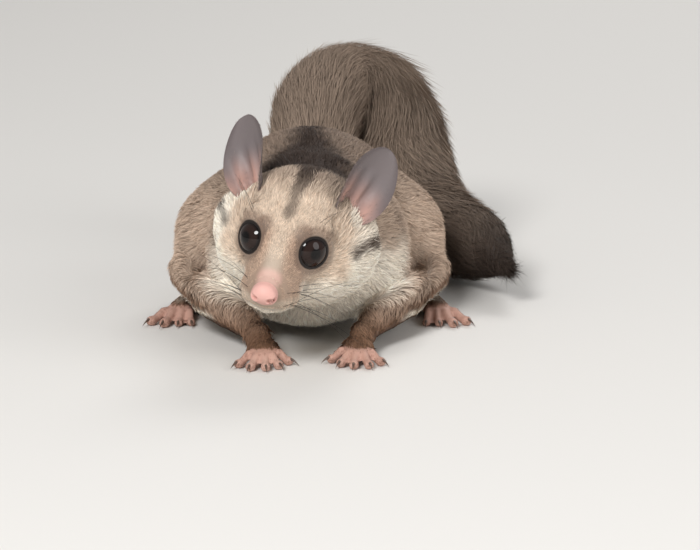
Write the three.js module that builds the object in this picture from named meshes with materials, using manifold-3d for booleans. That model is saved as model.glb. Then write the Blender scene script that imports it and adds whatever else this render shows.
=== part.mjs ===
// A sugar glider crouching with its head up and turned a little to its right, at life size.
// Millimetres, +Z up. It faces -Y, its left side is +X, and the origin is on the floor under the belly.
// The surface of each solid is the outside of the coat. Soft forms are blended into one distance
// field, a sphere's vertices are pushed out to that field, and thin cuts part the body into its nodes.

import * as THREE from "three";
import { mergeVertices } from "three/addons/utils/BufferGeometryUtils.js";
import Module from "manifold-3d";

const wasm = await Module();
wasm.setup();

// Driving dimensions
const headWidth = 36;
const trunkLength = 82;
const trunkWidth = 66;
const backHeight = 44;
const tailWidth = 25;
const earLength = 17;
const earWidth = 13.5;
const earThickness = 0.9;
const eyeRadius = 4.5;
const palmLength = 8;
const soleLength = 15;
const gap = 0.3;
const floorLevel = 0;

// The head's place and turn: to its right, nose down, and tilted towards its left shoulder
const headCentre = [-4, -47, 27.6];
const headTurn = { right: 12, down: 12, tilt: 12.5 };

const vec = (p) => new THREE.Vector3(...p);
const mirrored = (p, side) => [p[0] * side, p[1], p[2]];
const degrees = THREE.MathUtils.degToRad;
const clamp01 = (x) => Math.min(Math.max(x, 0), 1);
const smooth = (x) => clamp01(x) ** 2 * (3 - 2 * clamp01(x));
const mix = THREE.MathUtils.lerp;

const headPose = new THREE.Object3D();
headPose.position.copy(vec(headCentre));
headPose.rotation.set(
  degrees(headTurn.down),
  degrees(headTurn.tilt),
  degrees(-headTurn.right),
  "ZXY",
);
headPose.updateMatrixWorld(true);
const intoHead = headPose.matrixWorld.clone().invert();
const fromHead = (p) => vec(p).applyMatrix4(headPose.matrixWorld);
const fromHeadTurn = (p) => vec(p).transformDirection(headPose.matrixWorld);

// Distance fields: below zero inside, in millimetres

// An ellipsoid's distance, close to true near its surface
function egg(centre, radii) {
  const c = vec(centre);
  const r = vec(radii);
  const q = new THREE.Vector3();
  return (p) => {
    q.copy(p).sub(c).divide(r);
    const near = q.length();
    if (near < 1e-6) return -Math.min(...radii);
    const slope = q.divide(r).length();
    return (near * (near - 1)) / slope;
  };
}

// A rod from a to b whose radius changes evenly
function rod(a, radiusA, b, radiusB) {
  const start = vec(a);
  const along = vec(b).sub(start);
  const q = new THREE.Vector3();
  return (p) => {
    q.copy(p).sub(start);
    const t = clamp01(q.dot(along) / along.lengthSq());
    return q.addScaledVector(along, -t).length() - mix(radiusA, radiusB, t);
  };
}

const softMin = (a, b, k) => {
  const h = Math.max(k - Math.abs(a - b), 0) / k;
  return Math.min(a, b) - (h * h * k) / 4;
};

// Forms are [distance, blend width] pairs, melted together in order
const melt = (forms) => (p) =>
  forms.reduce(
    (d, [form, width]) => (d === null ? form(p) : softMin(d, form(p), width)),
    null,
  );

const bothSides = (make) => [make(-1), make(1)];

// The head's forms, in the head's own frame, which is the body's frame before its turn
const headForms = [
  [egg([0, 5.5, 1.2], [headWidth * 0.4, 15.5, 12.2]), 1],
  ...bothSides((s) => [egg([8.8 * s, 2.5, -4], [8.2, 10.5, 7.4]), 5]),
  [egg([0, -7, 1.6], [7.6, 10, 7.4]), 5],
  [rod([0, -8, -3], 7.4, [0, -19.2, -4.2], 3.9), 5],
  ...bothSides((s) => [egg([3.4 * s, -15.5, -6], [3.4, 4.6, 3]), 3]),
  [rod([0, -3, -7], 6.4, [0, -15.2, -8.6], 2.7), 3],
  [egg([0, 5, -7], [13.5, 12, 8]), 6],
  ...bothSides((s) => [egg([6.4 * s, -6.2, 6.4], [4, 4.6, 2.8]), 3]),
  ...bothSides((s) => [egg([12.6 * s, 7.5, -2], [6.2, 6.4, 7.6]), 5]),
];

// Each eye sits in a shallow dish of the face
const eyeWay = (s) => vec([0.6 * s, -0.77, 0.2]).normalize();
const eyeSeat = (s) => vec([5.5 * s, -7.6, 2.6]);
const eyeDish = bothSides((s) => {
  const radius = 9;
  const centre = eyeSeat(s).addScaledVector(eyeWay(s), radius + 2.9);
  return egg(centre.toArray(), [radius, radius, radius]);
});

const headField = melt(headForms);
const headPoint = new THREE.Vector3();
const headAt = (p) => {
  headPoint.copy(p).applyMatrix4(intoHead);
  return eyeDish.reduce((d, dish) => -softMin(-d, dish(headPoint), 2), headField(headPoint));
};

// The trunk's forms, in the body's frame
const halfWidth = trunkWidth / 2;
const trunkForms = [
  [egg([0, -4, 23], [23, trunkLength * 0.33, 19.5]), 1],
  [egg([0, 10, backHeight - 20], [22, 24, 20]), 8],
  [egg([0, 27, 19], [16.5, 14, 14.5]), 8],
  ...bothSides((s) => [egg([17.5 * s, 11, 17], [halfWidth - 17.5, 19, 15.6]), 7]),
  ...bothSides((s) => [egg([13 * s, -21, 19.5], [11, 13.5, 14]), 7]),
  [egg([0, -27, 17], [15, 13, 13.5]), 8],
  [egg([0, 2, 11.5], [22, 28, 12.4]), 6],
  [rod([-0.8, -37, 26.5], 15, [0, -22, 25], 17.5), 8],
];
const trunkAt = melt(trunkForms);
const bodyAt = (p) => softMin(headAt(p), trunkAt(p), 7);

// Solids from three.js geometry

// A closed geometry as a solid, with its faces turned out
function solid(geometry) {
  const bare = new THREE.BufferGeometry();
  bare.setAttribute("position", geometry.getAttribute("position"));
  bare.setIndex(geometry.index);
  const merged = mergeVertices(bare, 1e-4);
  const points = Float32Array.from(merged.attributes.position.array);
  const corners = Uint32Array.from(merged.index.array);
  const corner = (i) => new THREE.Vector3().fromArray(points, 3 * corners[i]);
  let volume = 0;
  for (let i = 0; i < corners.length; i += 3)
    volume += corner(i).dot(corner(i + 1).cross(corner(i + 2)));
  if (volume < 0) corners.reverse();
  return new wasm.Manifold(
    new wasm.Mesh({ numProp: 3, vertProperties: points, triVerts: corners }),
  );
}

// Moves each vertex of a geometry to place(vertex)
function shaped(geometry, place) {
  const points = geometry.getAttribute("position");
  const p = new THREE.Vector3();
  for (let i = 0; i < points.count; i++) {
    p.fromBufferAttribute(points, i);
    points.setXYZ(i, ...place(p).toArray());
  }
  return geometry;
}

// The first place along a direction where the field climbs to a level
function reach(field, centre, direction, level, farthest) {
  const p = new THREE.Vector3();
  const at = (t) => field(p.copy(centre).addScaledVector(direction, t)) - level;
  let near = 0;
  let far = 0;
  while (far < farthest && at(far) < 0) {
    near = far;
    far += 0.8;
  }
  for (let i = 0; i < 22; i++) {
    const middle = (near + far) / 2;
    if (at(middle) < 0) near = middle;
    else far = middle;
  }
  return p.copy(centre).addScaledVector(direction, far).clone();
}

// A sphere pushed out to a field, its pole turned to a direction. crowd above 1 draws rings to the pole
function cast(field, centre, pole, rings, sides, level = 0, crowd = 1) {
  const turn = new THREE.Quaternion().setFromUnitVectors(
    new THREE.Vector3(0, 1, 0),
    pole.clone().normalize(),
  );
  const sphere = new THREE.SphereGeometry(1, sides, rings);
  return solid(
    shaped(sphere, (p) => {
      const tilt = Math.acos(THREE.MathUtils.clamp(p.y, -1, 1)) / Math.PI;
      const spin = Math.atan2(p.z, p.x);
      const newTilt = Math.PI * tilt ** crowd;
      const away = Math.sin(newTilt);
      p.set(away * Math.cos(spin), Math.cos(newTilt), away * Math.sin(spin));
      return reach(field, centre, p.applyQuaternion(turn), level, 160);
    }),
  );
}

// A sphere's rings laid along a path. sizeAt(t) gives the half width across and the half depth
function sleeve(path, rings, sides, sizeAt, up = new THREE.Vector3(0, 0, 1)) {
  const sphere = new THREE.SphereGeometry(1, sides, rings);
  return solid(
    shaped(sphere, (p) => {
      const t = Math.acos(THREE.MathUtils.clamp(p.y, -1, 1)) / Math.PI;
      const ring = Math.hypot(p.x, p.z) || 1;
      const closed = t < 1e-4 || t > 1 - 1e-4;
      const [across, deep] = closed ? [0, 0] : sizeAt(t);
      const forward = path.getTangent(t);
      const side = forward.clone().cross(up).normalize();
      const depth = side.clone().cross(forward).normalize();
      return path
        .getPoint(t)
        .addScaledVector(side, (across * p.x) / ring)
        .addScaledVector(depth, (deep * p.z) / ring);
    }),
  );
}

const curve = (points) => new THREE.CatmullRomCurve3(points.map((p) => (p.isVector3 ? p : vec(p))));

// A round-ended limb of bone lengths, its radius read from a list along it
function limb(points, radii, rings, sides) {
  const path = curve(points);
  const ends = 0.12;
  return sleeve(path, rings, sides, (t) => {
    const place = t * (radii.length - 1);
    const i = Math.min(Math.floor(place), radii.length - 2);
    const radius = mix(radii[i], radii[i + 1], place - i);
    const edge = clamp01(Math.min(t, 1 - t) / ends);
    const rounded = Math.sqrt(1 - (1 - edge) ** 2);
    return [radius * rounded, radius * rounded];
  });
}

function ellipsoid(centre, radii, turn = new THREE.Quaternion(), rings = 12, sides = 18) {
  const c = centre.isVector3 ? centre : vec(centre);
  const sphere = new THREE.SphereGeometry(1, sides, rings);
  return solid(shaped(sphere, (p) => p.multiply(vec(radii)).applyQuaternion(turn).add(c)));
}

// A slab that lies across a place, facing a direction
function slab(centre, facing, width, thickness) {
  const turn = new THREE.Quaternion().setFromUnitVectors(
    new THREE.Vector3(0, 0, 1),
    facing.clone().normalize(),
  );
  const box = new THREE.BoxGeometry(width, width, thickness);
  return solid(shaped(box, (p) => p.applyQuaternion(turn).add(centre)));
}

// The half space past a place, as a block
function beyond(centre, facing) {
  const size = 160;
  const away = facing.clone().normalize();
  return slab(centre.clone().addScaledVector(away, size / 2), away, size * 2, size);
}

const underFloor = beyond(new THREE.Vector3(0, 0, floorLevel), new THREE.Vector3(0, 0, -1));

// The largest of a solid's separate bodies
const largest = (whole) =>
  whole.decompose().reduce((a, b) => (b.volume() > a.volume() ? b : a));

// The whole body, parted at the neck

const trunkCentre = new THREE.Vector3(0, 2, 20);
const headMiddle = fromHead([0, 1, -1]);
const facing = fromHeadTurn([0, -1, 0]);
const headCut = new THREE.Vector3(-1, -33.5, 26);
const neckCut = new THREE.Vector3(0, -25, 24);
const neckWay = new THREE.Vector3(-0.02, -1, -0.02).normalize();

const headRings = 27;
const headSides = 34;
const trunkRings = 20;
const trunkSides = 30;

const wholeHead = cast(bodyAt, headMiddle, facing, headRings, headSides, 0, 1.18);
const headGrown = cast(bodyAt, headMiddle, facing, headRings, headSides, gap, 1.18);
const trunkPole = new THREE.Vector3(0, 1, 0);
const wholeTrunk = cast(bodyAt, trunkCentre, trunkPole, trunkRings, trunkSides);
const trunkGrown = cast(bodyAt, trunkCentre, trunkPole, trunkRings, trunkSides, gap);

const parts = new Map();

// Eyes: the lens of each stands out between its lids

function eyes(head) {
  for (const [name, s] of [["eye_right", -1], ["eye_left", 1]]) {
    const centre = fromHead(eyeSeat(s).toArray());
    const way = fromHeadTurn(eyeWay(s).toArray());
    const turn = new THREE.Quaternion().setFromUnitVectors(new THREE.Vector3(0, 1, 0), way);
    parts.set(name, ellipsoid(centre, [eyeRadius, eyeRadius, eyeRadius], turn, 10, 16));
    const room = eyeRadius + gap;
    const lids = new THREE.TorusGeometry(3.75, 0.75, 5, 16);
    const flat = new THREE.Quaternion().setFromUnitVectors(new THREE.Vector3(0, 0, 1), way);
    const rim = solid(
      shaped(lids, (p) => p.applyQuaternion(flat).add(centre).addScaledVector(way, 2.9)),
    );
    head = head.add(rim).subtract(ellipsoid(centre, [room, room, room], turn, 10, 16));
  }
  return head;
}

// The line of the mouth, cut into the head's own surface, with the lips proud on either side
function mouth(head) {
  const inside = fromHead([0, -9, -5.4]);
  const line = (lift) => {
    const points = [];
    for (let i = -8; i <= 8; i++) {
      const turn = (i / 8) * 1.12;
      const way = [Math.sin(turn), -Math.cos(turn), -0.3 + lift + 0.1 * Math.abs(turn) ** 1.5];
      points.push(reach(bodyAt, inside, fromHeadTurn(way), 0, 40));
    }
    return new THREE.CatmullRomCurve3(points);
  };
  const lips = sleeve(line(-0.01), 12, 6, () => [0.7, 1.05]);
  return head.add(lips).subtract(sleeve(line(-0.01), 16, 4, () => [0.5, 0.42]));
}

// The nose: a bare pad with a comma of a nostril on each side and a groove down its middle
const nosePad = { centre: [0, -22.2, -3.4], radii: [2.7, 2.3, 2.35] };
const noseWing = { centre: [1.45, -22.4, -4], radii: [1.55, 1.8, 1.5] };

function nosePiece(form, s, grow, rings, sides) {
  const centre = fromHead(mirrored(form.centre, s));
  return ellipsoid(centre, form.radii.map((r) => r + grow), headPose.quaternion, rings, sides);
}

function nose() {
  let pad = nosePiece(nosePad, 1, 0, 8, 12);
  for (const s of [-1, 1]) pad = pad.add(nosePiece(noseWing, s, 0, 6, 10));
  for (const s of [-1, 1]) {
    const hole = curve([
      fromHead([1.3 * s, -25.2, -4.2]),
      fromHead([1.75 * s, -23.4, -4.2]),
      fromHead([2.9 * s, -22.7, -3.7]),
      fromHead([4, -22.2, -3.1].map((x, i) => (i ? x : x * s))),
    ]);
    pad = pad.subtract(sleeve(hole, 6, 6, () => [0.5, 0.62]));
  }
  const groove = curve([
    fromHead([0, -24.7, -1.1]),
    fromHead([0, -25, -3.9]),
    fromHead([0, -23.4, -7.1]),
  ]);
  return pad.subtract(sleeve(groove, 6, 5, () => [0.35, 0.42]));
}

// Ears: a thin leaf that stands on the crown, cupped towards the front and rolled at its root
const earRoot = (s) => [9.8 * s, 6, 8];
const earRise = (s) => vec([0.5 * s, 0.42, 0.78]).normalize();
const earFront = (s) => vec([0.62 * s, -0.76, 0.2]);

function ear(s) {
  const rise = earRise(s);
  const front = earFront(s);
  front.addScaledVector(rise, -front.dot(rise)).normalize();
  const across = rise.clone().cross(front);
  const root = vec(earRoot(s));
  const disc = new THREE.SphereGeometry(1, 18, 12);
  return solid(
    shaped(disc, (p) => {
      const up = (p.y + 1) / 2;
      const reachOut = Math.max(Math.sqrt(1 - p.y * p.y), 1e-3);
      const edge = THREE.MathUtils.clamp(p.x / reachOut, -1, 1);
      const width = (earWidth / 2) * mix(0.86, 1.02, smooth(up * 1.4)) * p.x;
      const cup = mix(5.2, 1.2, smooth(up)) * edge * edge * reachOut ** 0.6;
      const lean = 2.2 * up * up;
      const fold = 0.5 * Math.sin(edge * 7) * (1 - up) * Math.max(p.z, 0) * (1 - edge * edge);
      return root
        .clone()
        .addScaledVector(rise, (earLength + 3) * up - 3)
        .addScaledVector(across, width)
        .addScaledVector(front, cup - lean + p.z * (earThickness / 2) + fold)
        .applyMatrix4(headPose.matrixWorld);
    }),
  );
}

const before = (cut) => beyond(cut.clone().addScaledVector(neckWay, -gap / 2), neckWay);
const behind = (cut) => beyond(cut.clone().addScaledVector(neckWay, gap / 2), neckWay.clone().negate());

// The nose is cut out of the muzzle, so that it meets the head face to face
const noseRoom = nosePiece(nosePad, 1, gap, 8, 14)
  .add(nosePiece(noseWing, -1, gap, 8, 12))
  .add(nosePiece(noseWing, 1, gap, 8, 12));
parts.set("nose", largest(nose()));
const headSolid = mouth(eyes(wholeHead.subtract(behind(headCut)))).subtract(noseRoom);
parts.set("head", largest(headSolid));
for (const [name, s] of [["ear_right", -1], ["ear_left", 1]])
  parts.set(name, largest(ear(s).subtract(headGrown)));

// The neck, the upper arms and the thighs are cut out of the trunk
const neckSolid = wholeTrunk.subtract(before(headCut)).subtract(behind(neckCut));
parts.set("neck", largest(neckSolid));
let torso = wholeTrunk.subtract(before(neckCut)).subtract(underFloor);

const thigh = (s, grow) =>
  ellipsoid([27 * s, 10, 14], [15 + grow, 16 + grow, 15.5 + grow], undefined, 10, 16);
const upperArm = (s, grow) =>
  ellipsoid([22 * s, -21, 14.5], [8.5 + grow, 7.5 + grow, 12 + grow], undefined, 10, 14);
for (const [side, s] of [["right", -1], ["left", 1]]) {
  parts.set(`thigh_${side}`, largest(torso.intersect(thigh(s, 0))));
  torso = torso.subtract(thigh(s, gap));
  parts.set(`upper_arm_${side}`, largest(torso.intersect(upperArm(s, 0))));
  torso = torso.subtract(upperArm(s, gap));
}
parts.set("torso", largest(torso));

// Forelimbs: each hand lies flat, its fingers spread and tipped with claws
const handSpots = { right: [-10, -48, 0], left: [11.5, -46, 0] };
const fingerTurns = [-52, -24, -5, 14, 36];
const fingerLengths = [5.4, 7.2, 8.2, 8.4, 6.8];
const toeTurns = [-20, -8, 4, 22];
const toeLengths = [8, 8.4, 9.8, 8.6];

// A finger or toe with its claw, from its knuckle out along the floor
function digit(knuckle, turn, length, radius, clawLength) {
  const way = new THREE.Vector3(Math.sin(turn), -Math.cos(turn), 0);
  const at = (out, height) => knuckle.clone().setZ(height).addScaledVector(way, out);
  const joints = [
    at(-1.5, knuckle.z),
    at(length * 0.3, knuckle.z + 0.5),
    at(length * 0.66, radius * 1.15),
    at(length, radius * 0.86),
  ];
  const bones = limb(joints, [1.05, 1, 0.85, 1.12, 1.05].map((r) => r * radius), 5, 5);
  if (!clawLength) return bones;
  const tip = at(length * 0.93, radius * 1.2);
  const arch = at(length + clawLength * 0.45, radius * 1.5);
  const claw = curve([tip, arch, at(length + clawLength, radius * 0.35)]);
  return bones.add(sleeve(claw, 3, 4, (t) => [0.5 * (1 - t) + 0.1, 0.72 * (1 - t) + 0.12]));
}

// The forearm runs from the wrist to the elbow
const wristOf = (side, s) => vec(handSpots[side]).add(vec([1.4 * s, 6, 4.4]));
const elbowOf = (s) => vec([20 * s, -23, 9.5]);

function forearmLimb(side, s, grow) {
  const wrist = wristOf(side, s);
  const elbow = elbowOf(s);
  const way = elbow.clone().sub(wrist).normalize();
  const points = [wrist.addScaledVector(way, -2), wrist.clone().lerp(elbow, 0.5), elbow];
  return limb(points, [3.2, 4.2, 5.2, 5.6].map((r) => r + grow), 9, 12);
}

for (const [side, s] of [["right", -1], ["left", 1]]) {
  const spot = vec(handSpots[side]);
  const wrist = wristOf(side, s);
  const palm = ellipsoid(spot.clone().setZ(2.3), [3.5, palmLength * 0.6, 2.2], undefined, 8, 12);
  let hand = palm.add(limb([spot.clone().setZ(2.6), wrist.clone()], [2.7, 2.9, 3], 5, 9));
  fingerTurns.forEach((degreesOut, i) => {
    const turn = degrees(degreesOut) * s;
    const spread = new THREE.Vector3(Math.sin(turn) * 3.1, -Math.cos(turn) * 3.6, 1.9);
    hand = hand.add(digit(spot.clone().add(spread), turn, fingerLengths[i], 1.05, 2));
  });
  const way = elbowOf(s).sub(wrist).normalize();
  const cut = (shift, facing) => beyond(wrist.clone().addScaledVector(way, shift), facing);
  parts.set(`hand_${side}`, largest(hand.subtract(cut(-gap / 2, way)).subtract(underFloor)));
  const forearm = forearmLimb(side, s, 0).subtract(cut(gap / 2, way.clone().negate()));
  parts.set(`forearm_${side}`, largest(forearm.subtract(trunkGrown).subtract(underFloor)));
}

// Hind limbs: a long flat foot with a clawless great toe held out to the inside
const heelOf = (s) => vec([27.5 * s, 9, 2.6]);
const ballOf = (s) => vec([31 * s, 9 - soleLength, 2.2]);
const ankleHeight = 4.2;

function soleLimb(s, grow) {
  const heel = heelOf(s);
  const ball = ballOf(s);
  const way = ball.clone().sub(heel).setZ(0).normalize();
  const points = [heel.clone().addScaledVector(way, -1), heel.lerp(ball, 0.5).setZ(2.6), ball];
  return limb(points, [2.7, 2.6, 2.7, 3, 2.6].map((r) => r + grow), 9, 12);
}

function shankLimb(s, grow) {
  const points = [[27.5 * s, 9, 1.2], [27 * s, 6, 9], [25 * s, 2, 16]];
  return limb(points, [4.4, 4.8, 5.6].map((r) => r + grow), 8, 12);
}

for (const [side, s] of [["right", -1], ["left", 1]]) {
  const heel = heelOf(s);
  const ball = ballOf(s);
  const outward = Math.atan2(ball.x - heel.x, heel.y - ball.y);
  let foot = soleLimb(s, 0);
  toeTurns.forEach((degreesOut, i) => {
    const turn = outward + degrees(degreesOut) * s;
    const knuckle = ball.clone().add(new THREE.Vector3(s * (i - 1.6) * 1.45, -0.4, -0.3));
    foot = foot.add(digit(knuckle, turn, toeLengths[i], i < 2 ? 0.95 : 1.15, 2.2));
  });
  const thumb = heel.clone().lerp(ball, 0.55).setZ(2);
  foot = foot.add(digit(thumb, outward - degrees(68) * s, 7.4, 1.4, 0));
  const top = (shift) => new THREE.Vector3(0, 0, ankleHeight + shift);
  foot = foot.subtract(beyond(top(-gap / 2), new THREE.Vector3(0, 0, 1)));
  parts.set(`foot_${side}`, largest(foot.subtract(trunkGrown).subtract(underFloor)));
  const shank = shankLimb(s, 0).subtract(beyond(top(gap / 2), new THREE.Vector3(0, 0, -1)));
  parts.set(`shank_${side}`, largest(shank.subtract(trunkGrown)));
}

// The gliding membrane, drawn up into a wavy fold from the forearm along the flank to the hind leg
const foldEdge = [
  [18, -32, 8.5],
  [23.5, -25, 9],
  [28, -15, 9.5],
  [30.5, -4, 9.5],
  [32, 6, 9],
  [32, 14, 7.5],
];
for (const [side, s] of [["right", -1], ["left", 1]]) {
  const edge = curve(foldEdge.map((p) => mirrored(p, s)));
  const fold = sleeve(edge, 10, 7, (t) => {
    const end = Math.sqrt(Math.sin(Math.PI * clamp01(t)));
    return [2.4 * end, (4.4 + 0.5 * Math.sin(t * 22)) * end];
  });
  const around = [forearmLimb(side, s, gap), soleLimb(s, gap), shankLimb(s, gap), trunkGrown];
  const free = around.reduce((rest, other) => rest.subtract(other), fold);
  parts.set(`patagium_${side}`, largest(free.subtract(underFloor)));
}

// The tail: a core half as thick as the coat, and locks that overlap along it
const tailPath = curve([
  [0, 34, 20],
  [0, 48, 27],
  [0.5, 62, 36],
  [4, 74, 41.5],
  [11, 80, 43],
  [18, 78, 39.5],
  [23, 71, 31],
  [25.5, 62, 21.5],
  [30, 51, 14],
  [36, 40, 11.5],
  [42, 29, 10.5],
  [46, 17, 9.5],
]);
const tailRadius = (t) => {
  const swell = mix(8.4, tailWidth / 2, smooth(t / 0.28));
  return swell * Math.sqrt(Math.max(1 - (Math.max(t - 0.62, 0) / 0.4) ** 2 * 0.82, 0.02));
};
const lockRows = 6;
const locksPerRow = 6;
const lockLength = 29;
const tailCuts = [0.1, 0.28, 0.46, 0.64, 0.82];

let seed = 8;
const draw = () => {
  seed = (seed * 16807) % 2147483647;
  return seed / 2147483647;
};

function tailLock(t, spin) {
  const length = lockLength * (0.9 + 0.25 * draw());
  const total = tailPath.getLength();
  const along = tailPath.getTangentAt(t);
  const side = along.clone().cross(new THREE.Vector3(0, 0, 1)).normalize();
  const up = side.clone().cross(along).normalize();
  const points = [0, 0.2, 0.6, 1].map((share) => {
    const place = Math.min(t + (share * length) / total, 0.999);
    const rest = Math.max(t + (share * length) / total - 0.999, 0) * total;
    const here = tailPath.getPointAt(place);
    const way = tailPath.getTangentAt(place);
    const sideHere = way.clone().cross(new THREE.Vector3(0, 0, 1)).normalize();
    const upHere = sideHere.clone().cross(way).normalize();
    const coat = Math.max(tailRadius(place), 3);
    const out = coat * (share === 0 ? 0.4 : mix(0.74, 0.97, share));
    return here
      .addScaledVector(sideHere, Math.cos(spin) * out)
      .addScaledVector(upHere, Math.sin(spin) * out)
      .addScaledVector(way, rest);
  });
  const outward = side.multiplyScalar(Math.cos(spin)).addScaledVector(up, Math.sin(spin));
  const width = (0.62 * Math.PI * Math.max(tailRadius(t), 5)) / locksPerRow + 1.4;
  return sleeve(
    new THREE.CatmullRomCurve3(points),
    4,
    4,
    (s) => [width * (1 - s * s * 0.75) * 1.15, 1.5 * (1 - s * 0.6)],
    outward,
  );
}

function tail() {
  const core = sleeve(tailPath, 26, 10, (t) => {
    const radius = tailRadius(t) * 0.52 * Math.sqrt(clamp01((1 - t) * 9));
    return [radius, radius];
  });
  const locks = [];
  for (let row = 0; row < lockRows; row++)
    for (let i = 0; i < locksPerRow; i++) {
      const t = 0.06 + (row / lockRows) * 0.9;
      const spin = ((i + 0.5 * (row % 2) + 0.25 * (draw() - 0.5)) / locksPerRow) * 2 * Math.PI;
      locks.push(tailLock(t, spin));
    }
  let whole = wasm.Manifold.union([core, ...locks]).subtract(underFloor).subtract(trunkGrown);
  for (const t of tailCuts.slice(1))
    whole = whole.subtract(slab(tailPath.getPointAt(t), tailPath.getTangentAt(t), 46, gap));
  const pieces = whole.decompose();
  return tailCuts.map((t, i) => {
    const middle = tailPath.getPointAt((t + (tailCuts[i + 1] ?? 1)) / 2);
    const off = (piece) => {
      const box = piece.boundingBox();
      const centre = vec(box.min).add(vec(box.max)).multiplyScalar(0.5);
      return piece.volume() < 300 ? Infinity : centre.distanceTo(middle);
    };
    return pieces.reduce((a, b) => (off(b) < off(a) ? b : a));
  });
}
tail().forEach((piece, i) => parts.set(`tail_${i + 1}`, piece));

// Materials, by the start of a node's name
const finishes = {
  eye: { color: "#120b09", roughness: 0.08 },
  nose: { color: "#d98d88", roughness: 0.45 },
  ear: { color: "#7d6a69", roughness: 0.7 },
  hand: { color: "#b98a7c", roughness: 0.65 },
  foot: { color: "#b98a7c", roughness: 0.65 },
  coat: { color: "#8d7b6c", roughness: 0.95 },
};

const glider = new THREE.Group();
for (const [name, part] of parts) {
  const made = part.getMesh();
  const geometry = new THREE.BufferGeometry();
  geometry.setAttribute("position", new THREE.BufferAttribute(made.vertProperties, made.numProp));
  geometry.setIndex(new THREE.BufferAttribute(made.triVerts, 1));
  geometry.computeVertexNormals();
  const finish = finishes[name.split("_")[0]] ?? finishes.coat;
  const mesh = new THREE.Mesh(geometry, new THREE.MeshStandardMaterial({ ...finish, metalness: 0 }));
  mesh.name = name;
  glider.add(mesh);
}

export default glider;
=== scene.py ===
"""The looks of a life-size sugar glider: one skin, its eyes, ears, claws and whiskers, and its coat.

Lengths in the constants and in the shape functions are in millimetres, in the frame's axes
(+Z up, the animal faces -Y, its left side is +X). They become metres when a mesh is made.
"""

import math

import bpy
import numpy as np
from mathutils import Matrix, Vector


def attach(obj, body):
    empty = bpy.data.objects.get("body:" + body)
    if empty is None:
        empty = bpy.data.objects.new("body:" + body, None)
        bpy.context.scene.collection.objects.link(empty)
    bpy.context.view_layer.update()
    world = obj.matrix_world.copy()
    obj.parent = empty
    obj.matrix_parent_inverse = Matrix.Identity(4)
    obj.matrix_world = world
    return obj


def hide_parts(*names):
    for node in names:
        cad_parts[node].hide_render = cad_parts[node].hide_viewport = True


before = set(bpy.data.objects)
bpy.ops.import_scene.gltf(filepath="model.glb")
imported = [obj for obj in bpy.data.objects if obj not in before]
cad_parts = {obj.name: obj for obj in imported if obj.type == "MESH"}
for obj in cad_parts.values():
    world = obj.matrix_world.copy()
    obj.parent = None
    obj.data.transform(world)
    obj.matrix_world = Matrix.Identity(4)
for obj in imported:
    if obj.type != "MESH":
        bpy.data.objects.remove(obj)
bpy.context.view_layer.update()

bl_info = {
    "name": "Sugar Glider",
    "version": (1, 0, 0),
    "blender": (4, 2, 0),
    "location": "View3D > Sidebar > Glider",
    "description": "Skin, coat, eyes, ears and stage of a sugar glider",
    "category": "Object",
}

MM = 0.001
SIDES = (-1, 1)

# Driving sizes, the same as the solids'
HEAD_WIDTH = 36.0
TRUNK_LENGTH = 82.0
TRUNK_WIDTH = 66.0
BACK_HEIGHT = 44.0
TAIL_WIDTH = 25.0
EAR_LENGTH = 17.0
EAR_WIDTH = 13.5
EYE_RADIUS = 4.5
PALM_LENGTH = 8.0
SOLE_LENGTH = 15.0
HEAD_CENTRE = np.array([-4.0, -47.0, 27.6])
TURN_RIGHT, TURN_DOWN, TILT = 12.0, 12.0, 12.5

# Places on the left side of the head, in its own frame; the right side mirrors them
EYE_SEAT = np.array([5.5, -7.6, 2.6])
EYE_WAY = np.array([0.6, -0.77, 0.2]) / np.linalg.norm([0.6, -0.77, 0.2])
DISH_RADIUS = 9.0
DISH_GAP = 2.9
LID_EDGE = 2.95
LID_THICKNESS = 0.5
SOCKET_DEPTH = 0.9
NOSE_PAD = np.array([0.0, -22.2, -3.4])
NOSE_RADII = (2.7, 2.3, 2.35)
NOSTRIL = ((1.3, -25.2, -4.2), (1.75, -23.4, -4.2), (2.9, -22.7, -3.7), (4, -22.2, -3.1))
NOSTRIL_RADII = (0.5, 0.55, 0.42, 0.3)
NOSE_GROOVE = ((0, -24.7, -1.1), (0, -25, -3.9), (0, -23.4, -7.1))
MOUTH_RADIUS = 0.42
EAR_SEAT = (9.8, 6.0, 8.0)
EAR_RISE = (0.5, 0.42, 0.78)
EAR_FRONT = (0.62, -0.76, 0.2)

# Limbs of the left side; hands and feet lie flat on the floor
ELBOW = (20.0, -23, 9.5)
ARM_RADII = (3.0, 4.2, 5.6)
SHANK = ((27.5, 9, 3.0), (27, 6, 9), (25, 2, 16))
SHANK_RADII = (3.4, 4.8, 5.6)
LIMB_TOP = 27
FOLD_EDGE = ((18, -32, 8.5), (23.5, -25, 9), (28, -15, 9.5), (30.5, -4, 9.5), (32, 6, 9), (32, 14, 7.5))
FOLD_INSET = 0.8
FOLD_RADIUS = 4.1
FOLD_FLATNESS = 0.56
FOLD_STEPS = 14
HAND_SPOTS = {-1: (-10.0, -48.0), 1: (11.5, -46.0)}
HEEL, BALL = (27.5, 9, 2.6), (31.0, 9 - SOLE_LENGTH, 2.2)
FINGER_TURNS = (-52, -24, -5, 14, 36)
FINGER_LENGTHS = (5.4, 7.2, 8.2, 8.4, 6.8)
FINGER_RADIUS, FINGER_CLAW = 1.05, 2.0
TOE_TURNS = (-20, -8, 4, 22)
TOE_LENGTHS = (8.0, 8.4, 9.8, 8.6)
TOE_RADII = (0.95, 0.95, 1.15, 1.15)
TOE_GAP, TOE_CLAW = 1.45, 2.2
GREAT_TOE_TURN, GREAT_TOE_LENGTH, GREAT_TOE_RADIUS = 68, 7.4, 1.4

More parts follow.
